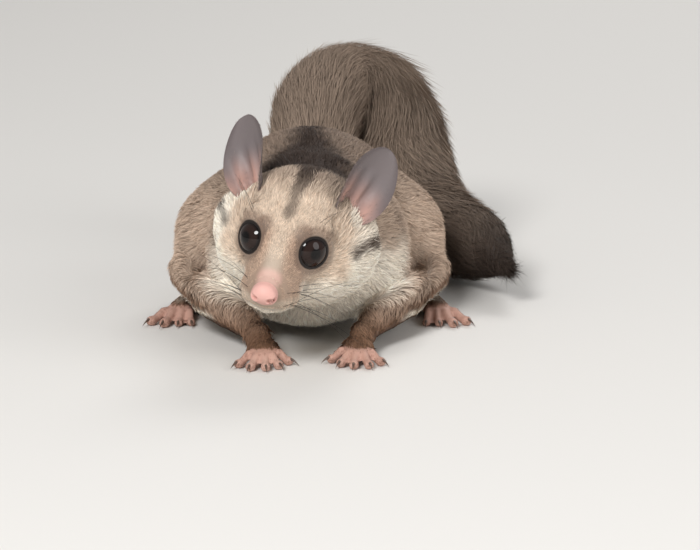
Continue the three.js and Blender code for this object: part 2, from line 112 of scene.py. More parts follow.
TAIL_POINTS = (
    (0, 34, 20), (0, 48, 27), (0.5, 62, 36), (4, 74, 41.5), (11, 80, 43), (18, 78, 39.5),
    (23, 71, 31), (25.5, 62, 21.5), (30, 51, 14), (36, 40, 11.5), (42, 29, 10.5), (46, 17, 9.5),
)
ROOT_RADIUS = 8.4
TAPER_START = 0.62

COARSE_GRID, FINE_GRID = 0.9, 0.74


def turned(axis, angle):
    return np.array(Matrix.Rotation(math.radians(angle), 3, axis))


HEAD_TURN = turned("Z", -TURN_RIGHT) @ turned("X", TURN_DOWN) @ turned("Y", TILT)


def from_head(p):
    """Head's own frame to the body's: p = R q + c."""
    return np.asarray(p, float) @ HEAD_TURN.T + HEAD_CENTRE


def into_head(p):
    return (p - HEAD_CENTRE) @ HEAD_TURN


def mirrored(places, s):
    """Places on the left side (s = 1), or their mirror on the right (s = -1)."""
    return np.asarray(places, float) * (s, 1, 1)


# Numbers, curves and noise


def unit(v):
    return v / np.maximum(np.linalg.norm(v, axis=-1, keepdims=True), 1e-9)


def smooth(x, low=0.0, high=1.0):
    t = np.clip((x - low) / (high - low), 0, 1)
    return t * t * (3 - 2 * t)


def mix(a, b, t):
    return a + (b - a) * t


def spline(points, count):
    """Catmull-Rom curve through the points, as count places spread evenly along it."""
    p = np.asarray(points, float)
    ends = np.vstack([2 * p[0] - p[1], p, 2 * p[-1] - p[-2]])
    t = np.linspace(0, len(p) - 1 - 1e-9, 40 * len(p))
    i = t.astype(int)
    u = (t - i)[:, None]
    a, b, c, d = ends[i], ends[i + 1], ends[i + 2], ends[i + 3]
    square, cube = 2 * a - 5 * b + 4 * c - d, 3 * b - a - 3 * c + d
    curve = 0.5 * (2 * b + (c - a) * u + square * u**2 + cube * u**3)
    along = np.concatenate([[0], np.cumsum(np.linalg.norm(np.diff(curve, axis=0), axis=1))])
    places = np.linspace(0, along[-1], count)
    return np.stack([np.interp(places, along, curve[:, k]) for k in range(3)], 1), along[-1]


def waves(p, seed, scale):
    """Smooth noise from -1 to 1: a sum of sines along eight fixed directions."""
    rng = np.random.default_rng(seed)
    ways = unit(rng.normal(size=(8, 3))) * (2 * math.pi / scale) * rng.uniform(0.6, 1.5, (8, 1))
    phase = rng.uniform(0, 2 * math.pi, 8)
    return np.sin(p @ ways.T + phase).sum(1) / 4.0


def three_waves(p, seed, scale):
    return np.stack([waves(p, seed + k, scale) for k in range(3)], 1)


# Distance fields: below zero inside


def egg(p, centre, radii):
    """Ellipsoid: d = k (k - 1) / |q / r| with q = (p - c) / r and k = |q|."""
    q = (p - np.asarray(centre, float)) / np.asarray(radii, float)
    near = np.sqrt((q * q).sum(-1))
    q = q / np.asarray(radii, float)
    return near * (near - 1) / np.maximum(np.sqrt((q * q).sum(-1)), 1e-6)


def rod(p, a, radius_a, b, radius_b):
    """Rod from a to b: distance to the line less a radius that changes evenly."""
    a, b = np.asarray(a, float), np.asarray(b, float)
    along = b - a
    t = np.clip(((p - a) @ along) / (along @ along), 0, 1)
    away = p - a - t[:, None] * along
    return np.sqrt((away * away).sum(-1)) - mix(radius_a, radius_b, t)


def chain(p, points, radii, stretch=(1, 1, 1)):
    """The nearest of the rods between neighbouring points."""
    scale = np.asarray(stretch, float)
    points = [np.asarray(q, float) / scale for q in points]
    q = p / scale
    found = None
    for a, b, ra, rb in zip(points, points[1:], radii, radii[1:]):
        d = rod(q, a, ra, b, rb)
        found = d if found is None else np.minimum(found, d)
    return found


def only(p, where, field):
    """The field where it can matter, and a far value elsewhere, to save time."""
    found = np.full(len(p), 30.0)
    found[where] = field(p[where])
    return found


def soft_min(a, b, k):
    """min(a, b) - h^2 k / 4, with h = max(k - |a - b|, 0) / k."""
    h = np.maximum(k - np.abs(a - b), 0) / k
    return np.minimum(a, b) - h * h * k / 4


def sides_of(places):
    """A form off the middle plane has a twin on the other side."""
    return SIDES if np.any(np.asarray(places, float)[..., 0]) else (1,)


def joined(p, forms):
    """The soft union of the forms and their twins, in their order."""
    found = None
    for field, places, radii, blend in forms:
        for s in sides_of(places):
            d = field(p, mirrored(places, s), radii)
            found = d if found is None else soft_min(found, d, blend)
    return found


# Each form is its field, places, radii and the width of its blend
SKULL = (egg, (0, 5.5, 1.2), (HEAD_WIDTH * 0.4, 15.5, 12.2), 0)
CHEEK_MUSCLE = (egg, (8.8, 2.5, -4), (8.2, 10.5, 7.4), 5)
THROAT = (egg, (0, 5, -7), (13.5, 12, 8), 6)
HEAD_FORMS = (
    SKULL,
    CHEEK_MUSCLE,
    (egg, (0, -7, 1.6), (7.6, 10, 7.4), 5),
    (chain, ((0, -8, -3), (0, -19.2, -4.2)), (7.4, 3.9), 5),
    (egg, (3.4, -15.5, -6), (3.4, 4.6, 3), 3),
    (chain, ((0, -3, -7), (0, -15.2, -8.6)), (6.4, 2.7), 3),
    THROAT,
    (egg, (6.4, -6.2, 6.4), (4, 4.6, 2.8), 3),
    (egg, (12.6, 7.5, -2), (6.2, 6.4, 7.6), 5),
)
TRUNK_FORMS = (
    (egg, (0, -4, 23), (23, TRUNK_LENGTH * 0.33, 19.5), 0),
    (egg, (0, 10, BACK_HEIGHT - 20), (22, 24, 20), 8),
    (egg, (0, 27, 19), (16.5, 14, 14.5), 8),
    (egg, (17.5, 11, 17), (TRUNK_WIDTH / 2 - 17.5, 19, 15.6), 7),
    (egg, (13, -21, 19.5), (11, 13.5, 14), 7),
    (egg, (0, -27, 17), (15, 13, 13.5), 8),
    (egg, (0, 2, 11.5), (22, 28, 12.4), 6),
)
NECK, NECK_RADII, NECK_BLEND = ((-0.8, -37, 26.5), (0, -22, 25)), (15, 17.5), 8


def about_eye(q, s):
    """From the eye's middle: the distance, its part along the gaze and its part off it."""
    way = q - mirrored(EYE_SEAT, s)
    gaze = mirrored(EYE_WAY, s)
    out = way @ gaze
    return np.linalg.norm(way, axis=1), out, np.linalg.norm(way - out[:, None] * gaze, axis=1)


def eye_distance(q, ahead=0.0):
    """Distance to the nearer eye's middle, or to a place that far ahead of it."""
    spots = (mirrored(EYE_SEAT, s) + mirrored(EYE_WAY, s) * ahead for s in SIDES)
    return np.minimum(*(np.linalg.norm(q - spot, axis=1) for spot in spots))


def head_field(p):
    """The head's forms in its own frame, without lids, lips or nose."""
    q = into_head(p)
    d = joined(q, HEAD_FORMS)
    for s in SIDES:
        centre = mirrored(EYE_WAY, s) * (DISH_RADIUS + DISH_GAP)
        dish = np.linalg.norm(q - mirrored(EYE_SEAT, s) - centre, axis=1) - DISH_RADIUS
        d = -soft_min(-d, dish, 2)
    return d


def trunk_field(p):
    return soft_min(joined(p, TRUNK_FORMS), chain(p, NECK, NECK_RADII), NECK_BLEND)


def wrist(s):
    x, y = HAND_SPOTS[s]
    return np.array([x + 1.4 * s, y + 6, 4.4])


def limbs():
    """(points, radii, stretch, blend width) of each limb's chain of rods."""
    rows = []
    spread = np.linspace(0.04, 0.96, FOLD_STEPS)
    swell = FOLD_RADIUS * np.sqrt(np.sin(np.pi * spread)) + 0.35 * np.sin(np.arange(FOLD_STEPS) * 1.7)
    for s in SIDES:
        elbow = mirrored(ELBOW, s)
        rows.append(((wrist(s), mix(wrist(s), elbow, 0.5), elbow), ARM_RADII, (1, 1, 1), 3.5))
        rows.append((mirrored(SHANK, s), SHANK_RADII, (1, 1, 1), 3.5))
        edge, _ = spline(mirrored(np.array(FOLD_EDGE) - (FOLD_INSET, 0, 0), s), FOLD_STEPS)
        rows.append((edge, swell, (FOLD_FLATNESS, 1, 1), 6.0))
    return rows


def paw_parts(s):
    """One side's palm as centre and radii, and its root and the sole as points and radii."""
    x, y = HAND_SPOTS[s]
    palm = (x, y, 2.3), (3.5, PALM_LENGTH * 0.6, 2.2)
    return palm, (((x, y, 2.6), wrist(s)), (2.4, 2.8)), (mirrored((HEEL, BALL), s), (2.5, 2.5))


def digit_roots():
    """(root, turn, length, radius, claw's length) of each finger and toe."""
    rows = []
    for s in SIDES:
        x, y = HAND_SPOTS[s]
        for degrees, length in zip(FINGER_TURNS, FINGER_LENGTHS):
            turn = math.radians(degrees) * s
            root = np.array([x + math.sin(turn) * 3.1, y - math.cos(turn) * 3.6, 1.9])
            rows.append((root, turn, length, FINGER_RADIUS, FINGER_CLAW))
        heel, ball = mirrored((HEEL, BALL), s)
        outward = math.atan2(ball[0] - heel[0], heel[1] - ball[1])
        for i, (degrees, length, radius) in enumerate(zip(TOE_TURNS, TOE_LENGTHS, TOE_RADII)):
            root = ball + (s * (i - 1.6) * TOE_GAP, -0.4, -0.3)
            rows.append((root, outward + math.radians(degrees) * s, length, radius, TOE_CLAW))
        root = mix(heel, ball, 0.55) * (1, 1, 0) + (0, 0, 2)
        turn = outward - math.radians(GREAT_TOE_TURN) * s
        rows.append((root, turn, GREAT_TOE_LENGTH, GREAT_TOE_RADIUS, 0.0))
    return rows


def digits():
    """(points, radii, claw's way, claw's length) of each finger and toe: root, arch, dip and pad."""
    made = []
    for root, turn, length, r, claw in digit_roots():
        way = np.array([math.sin(turn), -math.cos(turn), 0])
        places = (
            (-1.5, root[2]), (length * 0.3, root[2] + 0.5), (length * 0.66, r * 1.15), (length - r, r * 0.92),
        )
        points = [root * (1, 1, 0) + way * out + (0, 0, height) for out, height in places]
        made.append((points, (r * 1.05, r * 0.95, r * 0.82, r * 1.04), way, claw))
    return made


LIMBS = limbs()
DIGITS = digits()


def limb_field(p):
    return np.min([chain(p, *row[:3]) * min(row[2][0], 1) for row in LIMBS], axis=0)


def with_limbs(p, flesh):
    """The flesh with forearms, shanks and the membrane's folds blended into it."""
    low = p[:, 2] < LIMB_TOP
    whole, flesh, p = flesh.copy(), flesh[low], p[low]
    for points, radii, stretch, blend in LIMBS:
        flesh = soft_min(flesh, chain(p, points, radii, stretch) * min(stretch[0], 1), blend)
    whole[low] = flesh
    return whole


def finger_field(p):
    return np.min([chain(p, points, radii) for points, radii, _, _ in DIGITS], axis=0)


def paws(p):
    return only(p, p[:, 2] < 9, paw_field)


def paw_field(p):
    """Palms, soles, fingers and toes, bare skin."""
    parts = []
    for s in SIDES:
        palm, root, sole = paw_parts(s)
        parts += [soft_min(egg(p, *palm), chain(p, *root), 1.5), chain(p, *sole)]
    d = np.min(parts, axis=0)
    for points, radii, _, _ in DIGITS:
        d = soft_min(d, chain(p, points, radii), 0.9)
    return d


TAIL_STEPS = 40
TAIL_LINE, TAIL_LENGTH = spline(TAIL_POINTS, TAIL_STEPS)
TAIL_SHARE = np.linspace(0, 1, TAIL_STEPS)


def tail_radius(t):
    """The brush's radius: it swells from the root, and past the taper's start it narrows as
    sqrt(1 - 0.82 x^2)."""
    swell = mix(ROOT_RADIUS, TAIL_WIDTH / 2, smooth(t, 0, 0.28))
    return swell * np.sqrt(np.maximum(1 - (np.maximum(t - TAPER_START, 0) / 0.4) ** 2 * 0.82, 0.02))


CORE_RADIUS = tail_radius(TAIL_SHARE) * mix(0.82, 0.45, smooth(TAIL_SHARE, 0.04, 0.24))
CORE_RADIUS = CORE_RADIUS * np.sqrt(np.clip((1 - TAIL_SHARE) * 9, 0.02, 1))


def tail_field(p):
    return chain(p, TAIL_LINE, CORE_RADIUS)


def mouth_line():
    """The mouth's corner-to-corner line on the head's surface, found from a point inside it."""
    inside = from_head((0, -9, -5.4))
    turns = np.linspace(-1.12, 1.12, 17)
    ways = np.stack([np.sin(turns), -np.cos(turns), -0.31 + 0.1 * np.abs(turns) ** 1.5], 1)
    ways = unit(ways @ HEAD_TURN.T)
    far = np.zeros(len(turns))
    for _ in range(60):
        far += np.clip(-head_field(inside + ways * far[:, None]), -0.5, 0.8) * 0.7
    return inside + ways * far[:, None]


MOUTH = mouth_line()


def skin_depth(p, on_head, on_limb):
    """How far the skin lies under the coat's outside: almost nothing on the face, most on the trunk."""
    q = into_head(p)
    face = mix(0.3, 1.4, smooth(q[:, 1], -17, 8))
    off_eye = smooth(eye_distance(q), 4.0, 9.0)
    face = face * off_eye + 0.25 * (1 - off_eye)
    return mix(mix(1.5, face, on_head), 0.7, on_limb)


def body(p):
    """The whole skin's field. Zero is the skin itself, so the coat's depth is already taken off."""
    head, trunk = head_field(p), trunk_field(p)
    on_head = smooth(trunk - head, -6, 6)
    flesh = soft_min(head, trunk, 7)
    limb = only(p, p[:, 2] < LIMB_TOP, limb_field)
    on_limb = smooth(flesh - limb, -2, 2)
    flesh = with_limbs(p, flesh) + skin_depth(p, on_head, on_limb)
    flesh = soft_min(flesh, only(p, (p[:, 1] > 8) | (p[:, 0] > 36), tail_field), 4)
    flesh = soft_min(muzzle(p, flesh), paws(p), 1.2)
    return np.maximum(flesh, 0.12 - p[:, 2])


def muzzle(p, flesh):
    """The flesh with the lids, the nose and the mouth worked into it."""
    whole = flesh.copy()
    front = into_head(p)[:, 1] < -1
    p, flesh = p[front], flesh[front]
    q = into_head(p)
    for s in SIDES:
        far, out, _ = about_eye(q, s)
        flesh = soft_min(flesh, np.maximum(far - EYE_RADIUS - LID_THICKNESS, out - LID_EDGE), 0.7)
        flesh = np.maximum(flesh, EYE_RADIUS - SOCKET_DEPTH - far)
    pad = egg(q, NOSE_PAD, NOSE_RADII)
    for s in SIDES:
        pad = soft_min(pad, egg(q, mirrored((1.45, -22.4, -4.0), s), (1.55, 1.8, 1.5)), 0.5)
    flesh = soft_min(flesh, pad, 0.8)
    for s in SIDES:
        flesh = -soft_min(-flesh, chain(q, mirrored(NOSTRIL, s), NOSTRIL_RADII), 0.3)
    flesh = -soft_min(-flesh, chain(q, NOSE_GROOVE, (0.2, 0.3, 0.3)), 0.3)
    mouth = chain(p, MOUTH, np.full(len(MOUTH), MOUTH_RADIUS))
    whole[front] = -soft_min(-soft_min(flesh, mouth - 0.35, 0.8), mouth, 0.35)
    return whole


# Meshes


def new_object(name, data):
    thing = bpy.data.objects.new(name, data)
    bpy.context.scene.collection.objects.link(thing)
    return thing


def make_object(name, points, faces, material, slot, smooth_faces=True):
    """A mesh object from millimetre points and triangles or quads."""
    mesh = bpy.data.meshes.new(name)
    faces = np.asarray(faces)
    mesh.vertices.add(len(points))
    mesh.vertices.foreach_set("co", (np.asarray(points, np.float32) * MM).ravel())
    sides = faces.shape[1]
    mesh.loops.add(faces.size)
    mesh.loops.foreach_set("vertex_index", faces.ravel().astype(np.int32))
    mesh.polygons.add(len(faces))
    mesh.polygons.foreach_set("loop_start", np.arange(0, faces.size, sides, dtype=np.int32))
    mesh.polygons.foreach_set("use_smooth", np.full(len(faces), smooth_faces))
    mesh.update()
    thing = new_object(name, mesh)
    mesh.materials.append(material)
    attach(thing, "root")
    return thing


def tube_faces(rings, sides):
    """Triangles between each ring of points and the next one, and the order round a ring."""
    k = np.arange(sides)
    following = (k + 1) % sides
    faces = []
    for low in range(0, (rings - 1) * sides, sides):
        high = low + sides
        faces.append(np.stack([low + k, low + following, high + following], 1))
        faces.append(np.stack([low + k, high + following, high + k], 1))
    return faces, k, following


def ball_grid(rings, sides):
    """A unit sphere: rings of points from pole to pole, one point at each pole, and triangles."""
    tilt = np.linspace(0, np.pi, rings + 1)[1:-1]
    spin = np.arange(sides) * 2 * np.pi / sides
    t, a = np.meshgrid(tilt, spin, indexing="ij")
    ring = np.stack([np.sin(t) * np.cos(a), np.cos(t), np.sin(t) * np.sin(a)], -1).reshape(-1, 3)
    points = np.vstack([ring, (0, 1, 0), (0, -1, 0)])
    top, bottom = len(ring), len(ring) + 1
    faces, k, following = tube_faces(rings - 1, sides)
    faces.insert(0, np.stack([np.full(sides, top), following, k], 1))
    last = (rings - 2) * sides
    faces.append(np.stack([last + k, last + following, np.full(sides, bottom)], 1))
    return points, np.vstack(faces)


def facing_out(points, faces):
    a, b, c = (points[faces[:, k]] for k in range(3))
    return faces if (a * np.cross(b, c)).sum() > 0 else faces[:, ::-1]


def stacked(clumps):
    """One array of points and one of faces from many (points, faces), each turned to face out."""
    starts = np.cumsum([0] + [len(points) for points, _ in clumps])
    faces = [facing_out(*clump) + start for clump, start in zip(clumps, starts)]
    return np.vstack([points for points, _ in clumps]), np.vstack(faces)


# Balls that fill the head and neck for the remesh: centre and radii
HEAD_FILL = (
    ((0, -7, 1.6), (7.2, 9, 6.4)), ((0, -12, -3.6), (5.6, 7, 5.4)), ((0, -18, -4.2), (4, 5, 4)),
    (NOSE_PAD, NOSE_RADII), ((0, -9, -7), (5, 8, 4.6)),
)
NECK_FILL = ((-0.6, -32, 26), (15, 14, 15))


def rough_body():
    """Closed balls and rods that fill the field, to be joined by the remesh."""
    clumps = []

    def ball(centre, radii, turn=np.eye(3)):
        points, faces = ball_grid(14, 20)
        clumps.append(((points * radii) @ turn.T + centre, faces))

    def tube(points, radii, stretch=(1, 1, 1)):
        points = np.asarray(points, float)
        for a, b, ra, rb in zip(points, points[1:], radii, radii[1:]):
            steps = max(2, int(np.linalg.norm(b - a) / (0.35 * max(ra, rb))) + 1)
            for t in np.linspace(0, 1, steps):
                ball(mix(a, b, t), mix(ra, rb, t) * np.asarray(stretch, float))

    def both_sides(forms):
        return [(mirrored(place, s), radii) for _, place, radii, _ in forms for s in sides_of(place)]

    for centre, radii in both_sides((SKULL, CHEEK_MUSCLE, THROAT)) + list(HEAD_FILL):
        ball(from_head(centre), np.array(radii) - (0.6 if radii[0] > 3 else 0), HEAD_TURN)
    for s in SIDES:
        ball(from_head(mirrored(EYE_SEAT, s)), np.full(3, EYE_RADIUS + 2 * LID_THICKNESS))
    for centre, radii in both_sides(TRUNK_FORMS) + [NECK_FILL]:
        ball(np.array(centre, float), np.array(radii, float) - 1.8)
    for points, radii, stretch, _ in LIMBS:
        tube(points, np.asarray(radii) - 0.6, stretch)
    for s in SIDES:
        palm, root, sole = paw_parts(s)
        ball(np.array(palm[0]), np.array(palm[1]))
        tube(*root)
        tube(*sole)
    for points, radii, _, _ in DIGITS:
        tube(points, radii)
    tube(TAIL_LINE, CORE_RADIUS)
    return stacked(clumps)


def onto_skin(points, rounds):
    """Newton's steps to the skin: p - f grad f / |grad f|^2."""
    eps = 0.04
    for _ in range(rounds):
        f = body(points)
        slope = np.stack([body(points + np.eye(3)[k] * eps) - f for k in range(3)], 1) / eps
        size = np.maximum((slope * slope).sum(1), 0.2)
        step = (f / size)[:, None] * slope
        length = np.linalg.norm(step, axis=1, keepdims=True)
        points = points - step * np.minimum(1, 1.5 / np.maximum(length, 1e-9)) * 0.85
    return points


def mesh_points(mesh):
    points = np.zeros(len(mesh.vertices) * 3, np.float32)
    mesh.vertices.foreach_get("co", points)
    return points.reshape(-1, 3).astype(float) / MM


def set_points(mesh, points):
    mesh.vertices.foreach_set("co", (points * MM).astype(np.float32).ravel())
    mesh.update()


def remeshed(mesh, voxel, name):
    """The mesh's outer surface, rebuilt on a grid of that size."""
    holder = new_object(name, mesh)
    change = holder.modifiers.new("grid", "REMESH")
    change.mode = "VOXEL"
    change.voxel_size = voxel * MM
    change.use_smooth_shade = True
    made = bpy.data.meshes.new_from_object(holder.evaluated_get(bpy.context.evaluated_depsgraph_get()))
    bpy.data.objects.remove(holder)
    return made


def triangles(mesh):
    mesh.calc_loop_triangles()
    found = np.zeros(len(mesh.loop_triangles) * 3, np.int32)
    mesh.loop_triangles.foreach_get("vertices", found)
    return found.reshape(-1, 3)


def refined(points, faces, chosen):
    """Triangles with every edge of the chosen ones halved, and their neighbours cut to match."""
    edges = np.sort(np.concatenate([faces[:, [0, 1]], faces[:, [1, 2]], faces[:, [2, 0]]]), axis=1)
    keys = edges[:, 0].astype(np.int64) * len(points) + edges[:, 1]
    unique, inverse = np.unique(keys, return_inverse=True)
    split = np.zeros(len(unique), bool)
    split[inverse.reshape(3, -1)[:, chosen].ravel()] = True
    number = np.full(len(unique), -1)
    number[split] = len(points) + np.arange(split.sum())
    low, high = unique[split] // len(points), unique[split] % len(points)
    points = np.vstack([points, (points[low] + points[high]) / 2])
    mids = number[inverse].reshape(3, -1).T
    count = (mids >= 0).sum(1)
    made = [faces[count == 0]]
    for k in range(3):
        a, b, c = faces[:, k], faces[:, (k + 1) % 3], faces[:, (k + 2) % 3]
        ab, bc, ca = mids[:, k], mids[:, (k + 1) % 3], mids[:, (k + 2) % 3]
        one = (count == 1) & (ab >= 0)
        two = (count == 2) & (ca < 0)
        made += [np.stack(trio, 1)[one] for trio in ((a, ab, c), (ab, b, c))]
        made += [np.stack(trio, 1)[two] for trio in ((a, ab, bc), (ab, b, bc), (a, bc, c))]
    a, b, c = faces[:, 0], faces[:, 1], faces[:, 2]
    ab, bc, ca = mids.T
    all_three = count == 3
    for trio in ((a, ab, ca), (ab, b, bc), (ca, bc, c), (ab, bc, ca)):
        made.append(np.stack(trio, 1)[all_three])
    return points, np.vstack(made)


def vertex_normals(points, faces):
    a, b, c = (points[faces[:, k]] for k in range(3))
    flat = np.cross(b - a, c - a)
    total = np.zeros_like(points)
    for k in range(3):
        np.add.at(total, faces[:, k], flat)
    return unit(total)


def build_skin():
    """Skin points and triangles: two remeshes, then finer triangles on the face and paws, and
    finer ones again round the eyes and the nose."""
    points, faces = rough_body()
    mesh = bpy.data.meshes.new("rough")
    mesh.from_pydata([tuple(p) for p in points * MM], [], faces.tolist())
    coarse = remeshed(mesh, COARSE_GRID, "rough")
    set_points(coarse, onto_skin(mesh_points(coarse), 5))
    fine = remeshed(coarse, FINE_GRID, "coarse")
    points = onto_skin(mesh_points(fine), 4)
    faces = triangles(fine)
    middle = points[faces].mean(1)
    q = into_head(middle)
    face_part = (q[:, 1] < -2) & (np.abs(q[:, 0]) < 13) & (q[:, 2] > -11) & (q[:, 2] < 9)
    paw_part = (paws(middle) < 0.3) & (middle[:, 2] < 6)
    points, faces = refined(points, faces, face_part | paw_part)
    points = onto_skin(points, 3)
    q = into_head(points[faces].mean(1))
    nose_part = (q[:, 1] < -18.5) & (q[:, 2] > -11)
    points, faces = refined(points, faces, (eye_distance(q, ahead=3) < 5.2) | nose_part)
    points = onto_skin(points, 3)
    for mesh in (coarse, fine):
        bpy.data.meshes.remove(mesh)
    return points, facing_out(points, faces)


# Markings


def srgb(*c):
    c = np.array(c, float)
    return np.where(c <= 0.04045, c / 12.92, ((c + 0.055) / 1.055) ** 2.4)


BACK_FUR = srgb(0.52, 0.45, 0.395)
FLANK_FUR = srgb(0.74, 0.65, 0.575)
STRIPE_FUR = srgb(0.17, 0.125, 0.105)
CREAM_FUR = srgb(0.95, 0.91, 0.85)
FACE_FUR = srgb(0.83, 0.75, 0.67)
CROWN_FUR = srgb(0.72, 0.64, 0.57)
SNOUT_FUR = srgb(0.70, 0.575, 0.49)
BROWN_FUR = srgb(0.50, 0.38, 0.30)
EYE_RING = srgb(0.44, 0.33, 0.27)
TAIL_FUR = srgb(0.52, 0.455, 0.40)
TAIL_DARK = srgb(0.19, 0.155, 0.14)
PAW_SKIN = srgb(0.74, 0.58, 0.52)
NOSE_SKIN = srgb(0.85, 0.66, 0.62)
EAR_SKIN = srgb(0.43, 0.395, 0.395)
EAR_ROOT = srgb(0.70, 0.54, 0.49)
LID_SKIN = srgb(0.10, 0.07, 0.06)
IRIS = srgb(0.15, 0.10, 0.085)
PUPIL = srgb(0.045, 0.035, 0.035)
EYE_EDGE = srgb(0.03, 0.02, 0.02)
EAR_RIM = srgb(0.33, 0.29, 0.29)
EAR_FUZZ = srgb(0.50, 0.45, 0.43)
PAW_HAIR = srgb(0.55, 0.42, 0.35)
UNDERCOAT_SHADE, ROOT_SHADE = 0.62, 0.78
CORNEA_BULGE = 0.012
EAR_DEPTH = 3
CLAW_RADIUS, WHISKER_RADIUS = 0.42, 0.045
TUFT_STRAY, TUFT_ROLL, TUFT_BEND = 0.10, 0.5, 0.12
TUFT_DEPTH, FLOOR_GAP = 0.12, 0.15


def blend_to(colour, other, amount):
    return colour + (other - colour) * np.clip(amount, 0, 1)[:, None]


def near_tail(p):
    """Nearest place along the tail (0 to 1), its distance and the way the tail runs there."""
    best, share, way = np.full(len(p), 1e9), np.zeros(len(p)), np.zeros((len(p), 3))
    for i in range(len(TAIL_LINE) - 1):
        a, b = TAIL_LINE[i], TAIL_LINE[i + 1]
        along = b - a
        t = np.clip(((p - a) @ along) / (along @ along), 0, 1)
        d = np.linalg.norm(p - a - t[:, None] * along, axis=1)
        closer = d < best
        best = np.where(closer, d, best)
        share = np.where(closer, (i + t) / (len(TAIL_LINE) - 1), share)
        way[closer] = along
    return share, best, unit(way)


def regions(p):
    """How much each place belongs to the head, the tail, the limbs and the paws."""
    head = smooth(trunk_field(p) - head_field(p), -5, 5)
    share, distance, way = np.zeros(len(p)), np.full(len(p), 30.0), np.zeros((len(p), 3))
    behind = (p[:, 1] > 12) | (p[:, 0] > 36)
    share[behind], distance[behind], way[behind] = near_tail(p[behind])
    tail = smooth(trunk_field(p), 0.0, 4.0) * (distance < 14) * (p[:, 1] > 15)
    limb = only(p, p[:, 2] < LIMB_TOP, limb_field)
    limb = smooth(np.minimum(head_field(p), trunk_field(p)) - limb, -1.5, 2.0) * (1 - tail)
    fingers = only(p, p[:, 2] < 7, finger_field)
    paw = np.maximum(smooth(-fingers, -1.2, -0.3), smooth(-p[:, 2], -1.2, -0.6) * (paws(p) < 0.5))
    paw = paw * (p[:, 2] < 6.5)
    return head * (1 - tail), tail, limb, paw, share, way


def patch(q, s, centre, radii):
    """A soft-edged spot on one side: 1 at its middle, 0 past its radii."""
    far = np.linalg.norm((q - mirrored(centre, s)) / radii, axis=1)
    return smooth(-far, -1.25, -0.65)


def streak(q, s, points, half, soft):
    """A soft-edged line on one side, of that half width."""
    return smooth(-chain(q, mirrored(points, s), np.full(len(points), half)), -soft, soft)


def eye_ring(q, s):
    """A ring round one eye, on the side that it looks to."""
    _, out, ring = about_eye(q, s)
    return smooth(-ring, -6.2, -4.4) * smooth(out, -1.0, 1.5)


NECK_MARK = ((12, -25, 40), (19, -26.5, 32), (22, -28.5, 25), (20.5, -32, 15))
BROW_MARK = ((9.0, 2.2, 10.2), (10.1, -4.5, 7.9), (10.4, -7, 6.4))
UNDER_EAR_MARK = ((14.6, -2.4, 0.8), (16.6, 1.5, 1.7), (18.0, 8, 0.6), (17.8, 14, -0.6))
# Marks of each side in the order in which they are laid on: form, its numbers, colour, strength
TRUNK_MARKS = ((streak, (NECK_MARK, 1.6, 1.5), STRIPE_FUR, 0.7),)
FACE_MARKS = (
    (patch, ((7.0, -13.2, -4.6), (2.6, 2.4, 1.8)), CREAM_FUR, 0.5),
    (eye_ring, (), EYE_RING, 0.55),
    (patch, ((4.5, -10.6, 6.6), (2.2, 2.6, 2.4)), EYE_RING, 0.5),
    (streak, (BROW_MARK, 0.5, 0.9), STRIPE_FUR, 0.6),
    (patch, ((13.6, 2.6, 6.4), (3.0, 3.2, 2.8)), CREAM_FUR, 1),
    (patch, ((18.0, 16.0, 3.0), (4.2, 4.6, 3.4)), CREAM_FUR, 1),
    (streak, (UNDER_EAR_MARK, 1.3, 1.0), STRIPE_FUR, 0.95),
)


def with_marks(q, colour, marks):
    for s in SIDES:
        for form, numbers, other, strength in marks:
            colour = blend_to(colour, other, form(q, s, *numbers) * strength)
    return colour


def trunk_marking(p, n, wobble):
    """Brown flanks, a grey back, the dark stripe that widens to the neck (there partly the stripe's own
    colour and partly painted shadow of the head), cream belly and chest.
    """
    high = p[:, 2] + 1.2 * wobble
    colour = blend_to(FLANK_FUR, BACK_FUR, smooth(high, 25, 40))
    # The stripe widens towards the neck. The widening is partly the stripe's own colour and partly painted
    # shadow of the head on the back.
    half = 2.6 + 6.4 * smooth(-p[:, 1], -2, 24) + 1.2 * wobble
    stripe = smooth(half - np.abs(p[:, 0]), -4.2, 2.4) * smooth(high, 26, 36)
    colour = blend_to(colour, STRIPE_FUR, stripe * 0.92)
    colour = with_marks(p, colour, TRUNK_MARKS)
    colour = blend_to(colour, CREAM_FUR, smooth(-high, -13, -7) * smooth(-n[:, 2], -0.5, 0.3))
    chest = smooth(-p[:, 1], 24, 33) * smooth(0.3 * np.abs(p[:, 0]) - high, -22, -14)
    return blend_to(colour, CREAM_FUR, chest)


def face_marking(q, wobble):
    """Grey-brown crown, cream cheeks and chin, brown snout, the side marks and the middle stripe."""
    x, f, u = np.abs(q[:, 0]), -q[:, 1], q[:, 2]
    face = blend_to(FACE_FUR, CROWN_FUR, smooth(-f, -4, 6) * smooth(u, 3, 8))
    cheek = smooth(-(u + 0.28 * f + 0.7 * wobble), -0.2, 3.6) * smooth(-f, -17, -10)
    side = smooth(x, 12.0, 15.0) * smooth(-u, -7, -3)
    face = blend_to(face, CREAM_FUR, np.maximum(cheek, side))
    face = blend_to(face, CREAM_FUR, smooth(-u, 7.0, 8.6))
    snout = smooth(f, 10.5, 14) * smooth(u, -5.8, -4.2) * smooth(x, 0.8, 3.0)
    face = with_marks(q, blend_to(face, SNOUT_FUR, snout * 0.7), FACE_MARKS)
    half = 0.5 + 0.9 * smooth(-f, -10.5, -6) + 0.5 * smooth(-f, -4, 3) + 4.6 * smooth(-f, 6, 15)
    stripe = smooth(half + 0.25 * wobble - x, -0.8, 0.6) * smooth(u, 4.6, 6.4) * smooth(-f, -11.8, -8)
    return blend_to(face, STRIPE_FUR, stripe * mix(0.60, 0.90, smooth(-f, -4, 6)))


